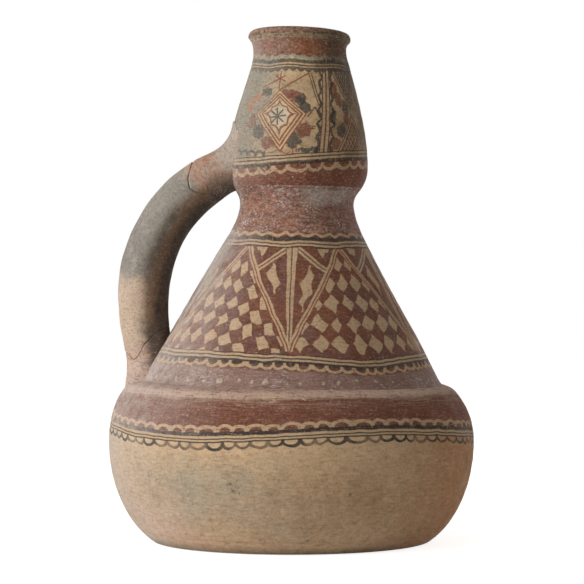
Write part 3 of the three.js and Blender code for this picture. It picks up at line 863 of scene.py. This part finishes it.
    foot = ramp(low, -8.6, -10.6)
    coat = lay(coat, MAUVE, foot * (0.65 + 0.35 * ramp(tone, 0.6, 0.4)))
    jitter = parted(grain(clay_place(), 48.0, 0.0, 0.5, colour=True))
    dot = wrapped(turn + 15.5 + (jitter[0] - 0.5) * 9 + (ragged - 0.5) * 5, 6.9) * degree / 1.45
    dot_up = (rise - 119.2 - ramp(turn, -50, 40) * 2.0 - (jitter[1] - 0.5) * 7) / 1.3
    spot = 1.5 * jitter[2] + 0.15 + (tone - 0.5) * 1.6 - away(dot, dot_up)
    coat = lay(coat, (0.60, 0.49, 0.36), edge(spot, 0.7) * 0.85)
    neck = edge(rise - 223.5, 0.6)
    neck_tone = grain(ring(turn, 0.06, rise * 0.5), 1.0, 5.0, 0.7)
    coat = toned(coat, neck_tone,
                 ((0.41, 0.18, 0.115), 0.42, 0.58, neck * 0.68),
                 ((0.12, 0.048, 0.032), 0.48, 0.36, neck * 0.6))
    patch = least(ramp(abs(turn - 31), 34, 12), ramp(abs(rise - 250), 9, 3))
    coat = lay(coat, (0.58, 0.50, 0.43), patch * ramp(tone, 0.30, 0.55) * 0.7)
    coat = lay(coat, (0.12, 0.08, 0.06), stroke(rise - 254.6, 1.3, 0.8) * 0.6)
    smoke = least(ramp(turn, -52, -78), ramp(abs(rise - 208), 34, 8)) * ramp(turn, -175, -140)
    coat = smoke_and_shade_cloud(Coat=coat, Amount=smoke, Smoke=(0.34, 0.32, 0.26), Depth=0.7)
    wear = 0.36 + 0.08 * foot + 0.12 * neck
    marks = 0.44 + 0.10 * foot + 0.40 * neck
    # Painted sheen on the lit left side, laid with the lime as a pale haze, and lime on the foot and neck.
    haze = sheen_and_lime_side(turn) * (0.78 - 0.72 * neck) + 0.12 * foot + 0.06 * neck
    flecks = 0.44 + 0.36 * foot + 0.44 * neck
    coat = aged(coat, ground, turn, rise, wear, marks, haze, flecks)
    fire(coat, place, 1.0, (0.5, 0.78))
    return material


cone_slip = painted_cone()
cone = stage("cone_wall", CREASE_HEIGHT, CONE_TOP_HEIGHT, 1.1)
finish_piece(cone, cone_slip, "cone")
THROAT_SEAM = WAIST_HEIGHT + 11.6
neck = stage("neck_wall", CONE_TOP_HEIGHT, THROAT_SEAM, 0.8)
finish_piece(neck, cone_slip, "neck")

# Cup, collar and lip. A swollen chamber was closed in above the waist, and a short ring and a rolled
# rim were set on it. Its pale slip carries a diamond and an hourglass between upright stripes.
CUP_DEGREE = 0.81  # mm to a degree at the middle of the cup
CUP_LINES, COLLAR_LINES, LIP_PAINT = 275, 340, 358.6  # rise of the rings around the panels, and of the lip
DIAMOND_TURN, DIAMOND_RISE = -17.9, 307
DIAMOND_HALF, DIAMOND_UP, DIAMOND_DOWN = 23.6, 16.4, 26.5  # degrees to each side, mm up and mm down
HOURGLASS_TURN, HOURGLASS_RISE, HOURGLASS_HALF = 54, 309, 21
PANEL_SCALE = 13.5  # mm to a panel's half size, for the widths of its lines
STRIPE_TURN, STRIPE_STEP, STRIPE_LEAN = 21.3, 70, 0.112
ORANGE, GREY_BLACK, MAUVE_RED = (0.50, 0.215, 0.10), (0.060, 0.058, 0.052), (0.22, 0.075, 0.046)
PALE_CREAM = (0.73, 0.53, 0.315)
DABS = (  # turn, rise, half width, half height and colour of each dab around the diamond
    (-33.3, 322.4, 4.3, 3.2, GREY_BLACK), (-44.1, 318.4, 4.6, 2.6, ORANGE),
    (-50.8, 312.7, 3.4, 4.2, ORANGE), (-45.0, 301.6, 3.2, 5.0, MAUVE_RED),
    (-37.0, 293.9, 4.4, 4.4, GREY_BLACK), (-26.0, 286.8, 4.8, 3.9, MAUVE_RED),
    (-12.3, 320.6, 4.3, 3.4, MAUVE_RED), (-4.9, 319.6, 4.0, 3.4, MAUVE_RED),
    (1.2, 317.0, 3.8, 3.3, GREY_BLACK), (4.9, 311.6, 3.0, 4.0, GREY_BLACK),
    (4.6, 295.8, 4.9, 4.6, MAUVE_RED), (-4.5, 288.2, 4.6, 5.2, GREY_BLACK))
CUP_STROKES = (  # start, end, width and colour of each straight stroke beside the diamond
    ((-21.1, 323.3), (8.3, 335.9), 1.2, LINE_RED), ((-21.2, 324.1), (-21.0, 332), 1.0, LINE_RED),
    ((-39.9, 325.0), (-21.6, 331.9), 1.1, LINE_RED), ((8.3, 335.9), (17.7, 313.2), 0.9, BROWN),
    ((10.9, 336.0), (19.4, 315.3), 0.9, BROWN), ((6.8, 304.8), (13.8, 312.3), 1.2, BROWN),
    ((13.8, 312.3), (18.2, 304.2), 1.2, BROWN), ((9.3, 298.7), (14.3, 298.4), 0.9, LINE_RED),
    ((9.3, 296.7), (13.8, 297.2), 0.9, LINE_RED), ((-55.0, 300.0), (-47.6, 299.9), 0.9, LINE_RED),
    ((-53.4, 298.1), (-47.8, 298.1), 0.9, LINE_RED), ((-60.9, 288.9), (-55.8, 295.5), 1.2, ORANGE),
    ((-4.8, 284.4), (-4.6, 278.6), 0.9, LINE_RED), ((-2.0, 284.5), (-1.9, 279.4), 0.9, LINE_RED))
CUP_BLOTS = (  # as in DABS, for each dab in the corners of the panels
    (-61.5, 289.5, 2.6, 1.8, ORANGE), (-56.0, 330.0, 3.4, 1.2, ORANGE),
    (5.0, 281.0, 4.6, 1.5, GREY_BLACK), (13.0, 281.6, 4.0, 1.7, GREY_BLACK),
    (2.5, 316.0, 3.0, 2.0, GREY_BLACK), (35.3, 325.0, 3.4, 6.4, MAUVE_RED),
    (38.8, 317.5, 3.4, 5.4, MAUVE_RED), (47.0, 312.6, 3.6, 5.4, GREY_BLACK),
    (46.4, 304.0, 3.4, 4.4, MAUVE_RED), (39.8, 296.0, 4.0, 5.4, GREY_BLACK),
    (32.6, 286.5, 4.4, 4.4, MAUVE_RED), (31.5, 304.5, 1.9, 7.5, GREY_BLACK))


def hump(turns):
    """Row of round humps, one to each turn, with their feet at 0 and their tops at 1."""
    return abs((turns * math.pi).step("COSINE"))


def segment(turn, rise, start, end, width):
    """Straight brush stroke between two places, each a turn in degrees and a rise in mm."""
    across, high = (end[0] - start[0]) * CUP_DEGREE, end[1] - start[1]
    length = math.hypot(across, high)
    side, up = (turn - start[0]) * CUP_DEGREE, rise - start[1]
    along = (side * across + up * high) / length
    off = (side * high - up * across) / length
    return stroke(off, width, 0.4) * band(along, 0, length, 0.6)


def star(turn, rise, middle, size, width, angles):
    """Strokes that cross in the middle of a circle."""
    side, up = (turn - middle[0]) * CUP_DEGREE, rise - middle[1]
    inside = edge(size - away(side, up), 0.5)
    rays = [stroke(side * math.sin(math.radians(angle)) - up * math.cos(math.radians(angle)), width, 0.35)
            for angle in angles]
    return most(*rays) * inside


def dabbed(coat, turn, rise, dabs, size, cover):
    """Round dabs of paint: each is an ellipse, where the distance from its middle, in shares of its
    half width and height, is below one."""
    for across, high, half_width, half_height, colour in dabs:
        side = (turn - across) * CUP_DEGREE / (half_width * size)
        far = away(side, (rise - high) / (half_height * size))
        coat = lay(coat, colour, edge(1 - far, 0.22) * cover)
    return coat


def diamond_panel(coat, turn, rise, dab_turn, dab_rise):
    """A diamond of cream and red outlines around an eight-rayed star, with dabs along its sides."""
    up = rise - DIAMOND_RISE
    side = abs(turn - DIAMOND_TURN + up * 0.10) / DIAMOND_HALF
    high = most(up / DIAMOND_UP, up / -DIAMOND_DOWN)
    far, split = side + high, side - high
    coat = dabbed(coat, dab_turn, dab_rise, DABS, 1.14, 0.90)
    coat = lay(coat, PALE_CREAM, edge((1 - far) * PANEL_SCALE, 0.4) * 0.96)
    for line, width in ((1.0, 0.9), (0.86, 1.2), (0.72, 1.2)):
        coat = lay(coat, LINE_RED, stroke((far - line) * PANEL_SCALE, width, 0.4) * 0.9)
    curl = (far - 0.60 + 0.13 * hump(split * 1.6 + 0.5)) * PANEL_SCALE
    coat = lay(coat, (0.68, 0.565, 0.42), edge(-curl, 0.6) * 0.8)
    coat = lay(coat, LINE_RED, stroke(curl, 1.3, 0.4) * 0.9)
    return lay(coat, BLACK, star(turn, rise, (-19.4, 305.0), 6.4, 1.1, (8, 52, 97, 140)) * 0.9)


def hourglass_panel(coat, turn, rise):
    """Two netted triangles, point to point, edged with double lines, and dabs in the spaces beside."""
    over = rise - HOURGLASS_RISE
    side = (turn - HOURGLASS_TURN) / HOURGLASS_HALF
    up = most(over / 30, over / -28) * (1 - 2 * edge(-over, 0.02))
    beyond = (abs(up) - abs(side)) * PANEL_SCALE
    net = most(*[stroke(wrapped(line, 0.19) * PANEL_SCALE, 0.9, 0.4) for line in (side + up, side - up)])
    core = edge(beyond - 2.6, 0.5)
    low = edge(-up, 0.02)
    coat = lay(coat, RED, core * low * 0.9)
    coat = lay(coat, CREAM, net * core * low * 0.8)
    coat = lay(coat, (0.30, 0.24, 0.16), core * (1 - low) * 0.6)
    coat = lay(coat, BLACK, net * core * (1 - low) * 0.85)
    coat = lay(coat, CREAM, stroke(beyond - 1.7, 3.4) * 0.8)
    for line in (2.9, 0.9):
        coat = lay(coat, BROWN, stroke(beyond - line, 0.9) * 0.85)
    return coat


def painted_cup():
    """Pale cup between two banded rings, over a red throat and under a red collar and lip."""
    material, place = start_paint("cup_slip", 2.2)
    turn, rise, _ = place
    ground = clay_ground()
    tone = grain(clay_place(), 40.0, 4.0, 0.6)
    coat = lay(PALE_CREAM, (0.42, 0.27, 0.15), ramp(tone, 0.38, 0.66))
    murky = grain(clay_place(), 72.0, 5.0, 0.66)
    coat = lay(coat, (0.33, 0.31, 0.235), ramp(murky, 0.50, 0.66) * ramp(turn, 34, -20) * 0.6)
    smoke = least(ramp(turn, -4, -52), ramp(abs(rise - 312), 54, 30)) * ramp(turn, -178, -150)
    coat = smoke_and_shade_cloud(Coat=coat, Amount=smoke, Smoke=(0.27, 0.262, 0.215), Depth=0.85)
    half_turn = wrapped(turn - 15, 180) + 15
    lumpy = parted(grain(clay_place(), 230.0, 2.0, 0.6, colour=True))
    dab_turn, dab_rise = half_turn + (lumpy[0] - 0.5) * 8, rise + (lumpy[1] - 0.5) * 6
    coat = diamond_panel(coat, half_turn, rise, dab_turn, dab_rise)
    for start, end, width, colour in CUP_STROKES:
        coat = lay(coat, colour, segment(half_turn, rise, start, end, width) * 0.88)
    coat = lay(coat, LINE_RED, star(half_turn, rise, (-21.0, 331.9), 5.2, 1.1, (25, 88, 155)) * 0.9)
    coat = dabbed(coat, dab_turn, dab_rise, CUP_BLOTS, 1, 0.88)
    zigzag = rise - 280.2 + 1.2 * wave(half_turn / 13)
    coat = lay(coat, LINE_RED, stroke(zigzag, 1.0, 0.5) * band(half_turn, -25, -6, 1) * 0.75)
    arcs = rounds(half_turn, 8.5, rise - 277.0, 3.2, 1.9)
    coat = lay(coat, BLACK, arcs * band(half_turn, -62, -28, 1) * 0.85)
    coat = hourglass_panel(coat, half_turn, rise)

    stripe = wrapped(turn - STRIPE_TURN - (rise - 282) * STRIPE_LEAN, 180)
    stripe = least(abs(stripe), abs(stripe - STRIPE_STEP)) * CUP_DEGREE
    side_wave = stripe - 4.8 - 1.1 * wave(rise / 9.6) + (lumpy[2] - 0.5) * 5
    coat = lay(coat, BLACK, stroke(side_wave, 1.4 + 2.2 * lumpy[1], 0.5) * 0.86)
    coat = lay(coat, CREAM, stroke(stripe, 6.2) * 0.95)
    coat = lay(coat, BROWN, most(stroke(stripe, 1.15), stroke(stripe - 3.0, 0.9)) * 0.92)

    low = rise - CUP_LINES - 4.3 * wave(turn / 360)
    throat = edge(-low - 2.0, 0.4)
    coat = lay(coat, RED, throat)
    ragged = grain(ring(turn, 0.25, 0.0), 1.0, 3.0, 0.6)
    slow = turn + (grain(ring(turn, 0.05, 6.0), 1.0, 1.0) - 0.5) * 12
    coat = lay(coat, CREAM, rounds(slow, 13.6, -4.0 - low, 3.6 + 1.8 * ragged, 1.4 + 1.7 * ragged) * 0.9)
    coat = lay(coat, BLACK, band(low, -2.3 - 2.6 * ragged, -0.8, 0.6) * 0.85)
    coat = ruled(coat, low, (CREAM, 1.25, 4.1, 0.92), (BLACK, 1.25, 1.0, 0.9), (BLACK, 3.6, 0.9, 0.85))

    high = rise - COLLAR_LINES + 0.5 * wave(turn / 53)
    on_collar = edge(high - 8.2, 0.6)
    coat = lay(coat, RED, on_collar)
    coat = toned(coat, tone, ((0.36, 0.14, 0.062), 0.42, 0.6, on_collar * 0.6))
    coat = lay(coat, BLACK, band(high, -0.9 - 1.9 * hump(turn / 8.3) - ragged, 0.3, 0.5) * 0.8)
    coat = ruled(coat, high, (CREAM, 1.5, 2.9, 0.85), (BLACK, 1.5, 1.0, 0.9))
    coat = lay(coat, BLACK, band(high, 3.2, 4.6 + 2.6 * ragged, 0.5) * 0.85)
    coat = lay(coat, (0.36, 0.34, 0.25), stroke(high - 7.6 - 0.9 * wave(turn / 13), 2.4, 0.7) * 0.85)
    lip_rise = rise - 3.2 * wave((turn + 90) / 360)  # the lip tips up at the front, and its lines with it
    on_lip = edge(lip_rise - LIP_PAINT, 0.8)
    coat = lay(coat, (0.30, 0.17, 0.11), on_lip * 0.85)
    rubbed = grain(ring(turn, 0.12, rise * 0.45), 1.0, 5.0, 0.7)
    coat = toned(coat, rubbed,
                 ((0.38, 0.325, 0.205), 0.36, 0.54, band(lip_rise, 357.9, 361.4, 1.2) * 0.85),
                 ((0.09, 0.065, 0.045), 0.60, 0.46, stroke(lip_rise - 362.2, 1.3, 0.6) * 0.9))
    coat = lay(coat, (0.12, 0.08, 0.06), stroke(rise - 255.2, 1.3, 0.8) * 0.6)

    coat = smoke_and_shade_cloud(Coat=coat, Amount=smoke, Smoke=(0.30, 0.28, 0.235), Depth=0.45)
    smear = least(ramp(abs(turn + 90), 38, 16), ramp(abs(rise - 270), 38, 18))
    smear = smear + (grain(clay_place(), 150.0, 6.0, 0.75) - 0.5) * 2.2
    coat = lay(coat, (0.50, 0.37, 0.30), ramp(smear, 0.35, 1.1) * 0.75)
    # Painted shade: the right side of the cup and the collar darkened, laid as a dark cloud.
    darkened_side = most(least(ramp(turn, 30, 66), ramp(abs(rise - 318), 50, 24)),
                least(ramp(turn, 8, 44), ramp(rise, 336, 350))) * ramp(turn, 178, 145)
    coat = smoke_and_shade_cloud(Coat=coat, Amount=darkened_side, Smoke=(0.075, 0.048, 0.024), Depth=0.82)
    wear = 0.35 + 0.18 * ramp(abs(rise - 356), 12, 4)
    red = most(throat, on_collar)
    marks = 0.48 + 0.18 * red + 0.34 * on_lip
    # Painted sheen on the lit left side, laid with the lime as a pale haze.
    haze = sheen_and_lime_side(turn) * (0.10 + 0.22 * red) * (1 - 0.7 * on_lip)
    flecks = (0.28 + 0.34 * red) * (1 - 0.6 * ramp(turn, 5, 45)) - 0.15 * on_lip
    coat = aged(coat, ground, turn, rise, wear, marks, haze, flecks)
    fire(coat, place, 1.0, (0.5, 0.8))
    return material


cup_slip = painted_cup()
COLLAR_SEAM, LIP_SEAM = COLLAR_HEIGHT - 7.5, COLLAR_HEIGHT + 4.5
cup = stage("cup_wall", THROAT_SEAM, COLLAR_SEAM, 1.0)
finish_piece(cup, cup_slip, "cup")
collar = stage("collar_wall", COLLAR_SEAM, LIP_SEAM, 0.7)
finish_piece(collar, cup_slip, "collar")


def lip_outline():
    """Up the outside, over a crown that is half an ellipse, and down the inside."""
    outer = on_wall(outside_radius, spaced(LIP_SEAM, LIP_HEIGHT, 0.6))
    angle = np.linspace(0, math.pi, 16)[1:-1]
    middle = LIP_RADIUS - WALL / 2
    crown = np.stack([middle + WALL / 2 * np.cos(angle), LIP_HEIGHT + LIP_CROWN * np.sin(angle)], 1)
    inner = on_wall(inside_radius, spaced(LIP_HEIGHT, LIP_SEAM + SCARF_RISE, 1.2))
    return np.concatenate([outer, crown, inner])


lip_line = lip_outline()
INNER_LIP = int(np.argmax(lip_line[:, 1])) + 9  # the slip was wiped a little way into the mouth
lip = turned("lip_roll", lip_line, np.ones(len(lip_line)), inside_from=INNER_LIP)
finish_piece(lip, cup_slip, "lip")

# Handle. A thick coil was pushed through the cup's wall as a tenon, bent down and smeared over the
# shoulder. It broke near both ends, and the loop was glued back: a dark crack is left at each break.
ROOT_HEIGHT = CUP_HEIGHT - 4
HANDLE_ROOT = np.array([-float(outside_radius(ROOT_HEIGHT)), ROOT_HEIGHT])
TAKEOFF = math.radians(20)
LEAVE = np.array([-math.cos(TAKEOFF), -math.sin(TAKEOFF)])  # the way in which it leaves the cup
BULGE = np.array([-107.6, CREASE_HEIGHT + 58.6])
FOOT = np.array([6.8 - CREASE_RADIUS, CREASE_HEIGHT])
LEAVE_EASE, BULGE_RISE, BULGE_DROP, FOOT_FALL = 30, 55, 24, 30  # how far each bend keeps its direction
BURIED = 2.6  # how far the smeared roots bite into the wall
PAST_ENDS = 40.0
BREAK_DISH = 2.6
HANDLE_COLUMNS, CAP_ROWS = 132, 10
TOP_GRIP, MID_GRIP, FOOT_GRIP, MID_SHARE = 33.0, 38.0, 32.5, 0.45
TOP_SPREAD, FOOT_SPREAD, SIDE_SPREAD, ROOT_THINNING = 10.3, 2.4, 6.5, 1.7
RIM_WEAR = 0.045  # how far the rim of an old break is worn back, as a share of its radius
UPPER_BREAK = [(-1.7, 4), (-1.1, 8), (-0.6, 18), (-0.4, 23.5), (-0.17, 27), (0.11, 29), (0.48, 26), (0.8, 21),
               (1, 17.5), (1.7, 15.5)]
LOWER_BREAK = [(-1.7, 38), (-1.1, 37), (-0.46, 34), (0.1, 26.5), (0.42, 17), (0.62, 14.5), (0.9, 21),
               (1.7, 26)]
TENON_RADIUS, TENON_PROUD, TENON_COLUMNS = 9.0, 3.0, 64
SMOKE_END = 100.0  # how far down the handle the smoke reaches


def handle_line():
    """The handle's middle line from inside the cup to inside the shoulder: two bends between two
    straight ends, as x and z in mm, and the length along it from where it leaves the cup."""
    line = np.concatenate([
        bend(HANDLE_ROOT - LEAVE * PAST_ENDS, HANDLE_ROOT),
        bend(HANDLE_ROOT, HANDLE_ROOT + LEAVE * LEAVE_EASE, BULGE + (0, BULGE_RISE), BULGE, steps=400)[1:],
        bend(BULGE, BULGE - (0, BULGE_DROP), FOOT + (0, FOOT_FALL), FOOT, steps=300)[1:],
        bend(FOOT, FOOT - (0, PAST_ENDS))[1:],
    ])
    length = np.concatenate([[0], np.cumsum(np.hypot(*np.diff(line, axis=0).T))])
    return line, length - PAST_ENDS


HANDLE_LINE, HANDLE_ALONG = handle_line()
HANDLE_LENGTH = HANDLE_ALONG[-1] - PAST_ENDS


def handle_radius(along, around):
    """Half the handle's thickness: thickest before the middle, spread over the walls it was smeared on,
    most at the top of the upper root, and dented by the fingers that pressed it."""
    share = np.clip(along / HANDLE_LENGTH, 0, 1)
    swell = smooth(np.where(share < MID_SHARE, share / MID_SHARE, (1 - share) / (1 - MID_SHARE)), 0, 1)
    grip = np.where(share < MID_SHARE, TOP_GRIP, FOOT_GRIP)
    half = (grip + (MID_GRIP - grip) * swell) / 2
    over = 0.5 + 0.5 * np.cos(around)
    thinning = -ROOT_THINNING * np.exp(-(np.maximum(along, 0) / 11)**2)
    top_spread = TOP_SPREAD * np.exp(-(np.maximum(along, -14) + 9.5) / 8.5) * over
    foot_spread = FOOT_SPREAD * np.clip(1 - (HANDLE_LENGTH - along) / 18, 0, 3)**2 * (1 - 0.75 * over)
    side_spread = SIDE_SPREAD * np.exp(-np.clip(HANDLE_LENGTH - 4 - along, -4, None) / 7) * np.sin(around)**2
    dents = 0.55 * swells(around, along, (1, 2, 3), 17, 21) + 0.2 * swells(around, along, (5, 8), 6, 22)
    return half + thinning + top_spread + foot_spread + side_spread + dents


def handle_point(along, around, reach):
    """A point beside the middle line: reach radii from it, at an angle around it from the outer side."""
    x, z = (np.interp(along, HANDLE_ALONG, HANDLE_LINE[:, axis]) for axis in (0, 1))
    before = [np.interp(along - 1, HANDLE_ALONG, HANDLE_LINE[:, axis]) for axis in (0, 1)]
    after = [np.interp(along + 1, HANDLE_ALONG, HANDLE_LINE[:, axis]) for axis in (0, 1)]
    dx, dz = after[0] - before[0], after[1] - before[1]
    length = np.hypot(dx, dz)
    radius = reach * handle_radius(along, around)
    out = radius * np.cos(around)
    return x + dz / length * out, radius * np.sin(around), z - dx / length * out


def wall_end(inner, outer):
    """Where the handle runs into the jug's wall: for each angle and reach, the length along the handle
    at which its point is just under the outside, found by halving between an inner and an outer one."""
    def place(around, reach):
        low, high = inner + 0 * around * reach, outer + 0 * around * reach
        for _ in range(24):
            middle = (low + high) / 2
            x, y, z = handle_point(middle, around, reach)
            buried = np.hypot(x, y) < outside_radius(z) - BURIED
            low, high = np.where(buried, middle, low), np.where(buried, high, middle)
        return (low + high) / 2
    return place


def break_end(marks, from_start, gap):
    """Where an old break crosses the handle: a length along it for each place across it, and dished in
    the middle, as clay breaks, by the root of one less the reach squared."""
    across, along = np.array(marks, float).T

    def place(around, reach):
        crumble = 0.25 * swells(around, 7 * reach, (4, 7), 3, 31)
        dish = BREAK_DISH * np.sqrt(np.clip(1 - reach**2, 0, 1))
        line = np.interp(reach * np.cos(around), across, along) + gap + crumble + dish
        return line if from_start else HANDLE_LENGTH - line
    return place


def handle_part(name, start, end, rows, worn_ends):
    """Loft between two ends, closed at each by a cap. Rows lie closer at the ends, and an end that is
    an old break has its rim worn back."""
    around = np.arange(HANDLE_COLUMNS) * 2 * math.pi / HANDLE_COLUMNS
    cap = np.linspace(0, 1, CAP_ROWS)[:, None] * np.ones_like(around)
    share = np.concatenate([[0.0025, 0.007], np.linspace(0.014, 0.986, rows), [0.993, 0.9975]])[:, None]
    outer = 0.25 + 0.75 * smooth(np.cos(around), -0.7, 0.2)
    rim_wear = RIM_WEAR * outer * (1 + 0.4 * swells(around, 0, (5, 9), 3, 33))
    fade = np.zeros((rows + 4, 1))
    fade[:2, 0] = np.array([0.5, 0.13]) * worn_ends[0]
    fade[-2:, 0] = np.array([0.13, 0.5]) * worn_ends[1]
    side = 1 - fade * rim_wear
    first_cap, last_cap = (cap * (1 - rim_wear * worn) for worn in worn_ends)
    reach = np.concatenate([first_cap, side, last_cap[::-1]])
    turn = around[None] * np.ones_like(reach)
    first, last = start(turn, reach), end(turn, reach)
    blend = np.concatenate([np.zeros((CAP_ROWS, 1)), share, np.ones((CAP_ROWS, 1))])
    along = first * (1 - blend) + last * blend
    across = np.tile(np.arange(HANDLE_COLUMNS + 1) / HANDLE_COLUMNS, (len(along), 1))
    return skin(name, leaned(*handle_point(along, turn, reach)), across, along, poles=True)


def painted_handle():
    """Thick coil: red slip on the upper root, smoke down to the middle of the grip, bare buff below it,
    darker on the inner side that faces the jug and in the corner over the shoulder, and a worn pinkish foot."""
    material, place = start_paint("handle_clay", 9.0)
    turn, rise, _ = place
    inward = wave((turn - 90) / 360)
    outer = ramp(inward, 0.2, -0.4)
    blotch = grain(clay_place(), 38.0, 6.0, 0.65)
    fine = grain(clay_place(), 110.0, 6.0, 0.72)
    coat = clay_ground(Pale=(0.75, 0.585, 0.46), Deep=(0.63, 0.465, 0.33))
    smoke = least(ramp(rise, 14, 34), ramp(rise, SMOKE_END + 6, SMOKE_END - 10))
    coat = smoke_and_shade_cloud(Coat=coat, Amount=smoke * 1.15, Smoke=(0.27, 0.258, 0.225), Depth=0.95)
    slate = least(ramp(abs(rise - 84), 26, 8), ramp(inward, 0.3, -0.2))
    coat = lay(coat, (0.165, 0.16, 0.145), slate * ramp(blotch, 0.36, 0.60) * 0.65)
    root = ramp(rise, 27, 22)
    coat = lay(coat, (0.43, 0.20, 0.115), root * 0.88)
    coat = lay(coat, (0.54, 0.42, 0.33), ramp(fine, 0.50, 0.62) * root * 0.55)
    coat = lay(coat, (0.40, 0.355, 0.29), ramp(rise + (fine - 0.5) * 10, 8, 1) * 0.85)
    foot = ramp(rise, HANDLE_LENGTH - 38, HANDLE_LENGTH - 20)
    coat = lay(coat, (0.60, 0.37, 0.275), foot * 0.78)
    brown = ramp(inward + (fine - 0.5) * 0.9, -0.10, 0.22)
    coat = lay(coat, (0.19, 0.106, 0.046), brown * 0.92)
    middle = least(ramp(inward + (fine - 0.5) * 0.5, -0.22, 0.12), ramp(inward, 0.62, 0.30))
    middle = middle * least(ramp(rise, 30, 52), ramp(rise, SMOKE_END + 16, SMOKE_END - 12))
    coat = lay(coat, (0.062, 0.056, 0.045), middle * ramp(blotch, 0.28, 0.50) * 0.88)
    warm = least(ramp(inward, 0.20, 0.50), ramp(inward, 1.0, 0.78)) * ramp(abs(rise - 80), 72, 34)
    coat = lay(coat, (0.31, 0.145, 0.058), warm * ramp(blotch, 0.38, 0.54) * 0.85)
    worn_foot = ramp(rise + (fine - 0.5) * 12, HANDLE_LENGTH - 20, HANDLE_LENGTH - 6)
    coat = lay(coat, (0.62, 0.43, 0.345), worn_foot * 0.8)
    # Darker on the inner side, which faces the jug.
    darkened_side = ramp(inward + (blotch - 0.5) * 1.2 - 0.26 * foot, 0.27, 0.70)
    coat = lay(coat, (0.020, 0.014, 0.008), darkened_side * 0.96)
    nook = least(ramp(rise, HANDLE_LENGTH - 50, HANDLE_LENGTH - 34),
                 ramp(inward + (fine - 0.5) * 1.6, -0.35, 0.25))
    coat = lay(coat, (0.062, 0.047, 0.034), nook * ramp(rise, HANDLE_LENGTH + 2, HANDLE_LENGTH - 12) * 0.88)
    coat = toned(coat, fine, ((0.50, 0.45, 0.38), 0.50, 0.68, outer * 0.45))
    nick = ramp(grain(clay_place(), 300.0, 2.0, 0.6), 0.70, 0.75)
    coat = lay(coat, (0.10, 0.07, 0.05), nick * 0.55)
    marks = 0.36 + 0.40 * foot + 0.2 * root
    coat = fine_marks(Coat=coat, Amount=marks, Turn=turn * 0.3, Rise=rise)
    haze, flecks = 0.12 + 0.2 * foot * outer + 0.1 * root, 0.34 + 0.4 * root
    coat = lime_and_sheen_bloom(Coat=coat, Haze=haze, Flecks=flecks, Turn=turn, Rise=rise)
    fire(coat, place, 1.15, (0.6, 0.88))
    return material


handle_clay = painted_handle()


def tenon_head():
    """The tenon's end, clenched over inside the cup: a low dome, half an ellipse turned on the handle's
    line, with its flat back in the wall."""
    angle = np.linspace(0, math.pi / 2, 12)
    reach = np.concatenate([TENON_RADIUS * np.sin(angle), [TENON_RADIUS, 0]])
    depth = np.concatenate([TENON_PROUD * np.cos(angle), [-2.0, -2.0]]) + WALL
    around = np.arange(TENON_COLUMNS) * 2 * math.pi / TENON_COLUMNS
    out, side = reach[:, None] * np.cos(around), reach[:, None] * np.sin(around)
    x = HANDLE_ROOT[0] - LEAVE[0] * depth[:, None] + LEAVE[1] * out
    z = HANDLE_ROOT[1] - LEAVE[1] * depth[:, None] - LEAVE[0] * out
    across = np.tile(np.arange(TENON_COLUMNS + 1) / TENON_COLUMNS, (len(reach), 1))
    grid = leaned(x, side, z)
    return skin("handle_tenon_head", grid[::-1], across[::-1], grid[::-1, :, 2], True, 0)


tenon = tenon_head()
finish_piece(tenon, handle_clay, "handle_upper_root")
upper_break, lower_break = break_end(UPPER_BREAK, True, 0), break_end(LOWER_BREAK, False, 0)
upper_root = handle_part("handle_upper_root_stub", wall_end(-30, 12), upper_break, 34, (0, 1))
finish_piece(upper_root, handle_clay, "handle_upper_root")
grip = handle_part(
    "handle_grip_loop", break_end(UPPER_BREAK, True, FILM), break_end(LOWER_BREAK, False, FILM), 150, (1, 1))
finish_piece(grip, handle_clay, "handle_grip")
lower_root = handle_part(
    "handle_lower_root_foot", lower_break, wall_end(HANDLE_LENGTH + 36, HANDLE_LENGTH - 60), 44, (1, 0))
finish_piece(lower_root, handle_clay, "handle_lower_root")

# Floor. A plain sheet of white paper under the jug, which the camera sees as white and which keeps
# the jug's shadow.
PAPER_HALF = 3.0
PAPER_GLOW = 0.85

floor_mesh = bpy.data.meshes.new("floor")
paper_corners = [(x * PAPER_HALF, y * PAPER_HALF, 0) for x, y in ((-1, -1), (1, -1), (1, 1), (-1, 1))]
floor_mesh.from_pydata(paper_corners, [], [(0, 1, 2, 3)])
floor = bpy.data.objects.new("floor", floor_mesh)
bpy.context.collection.objects.link(floor)
floor_paper = bpy.data.materials.new("floor_paper")
floor_paper.use_nodes = True
tree = floor_paper.node_tree
paper = tree.nodes["Principled BSDF"]
paper.inputs["Base Color"].default_value = (0.9, 0.9, 0.9, 1)
paper.inputs["Roughness"].default_value = 1.0
paper.inputs["Specular IOR Level"].default_value = 0.0
paper.inputs["Emission Color"].default_value = (1, 1, 1, 1)
glow = tree.nodes.new("ShaderNodeMath")
glow.operation = "MULTIPLY"
glow.inputs[1].default_value = PAPER_GLOW
tree.links.new(shown(tree), glow.inputs[0])
tree.links.new(glow.outputs[0], paper.inputs["Emission Strength"])
floor.data.materials.append(floor_paper)
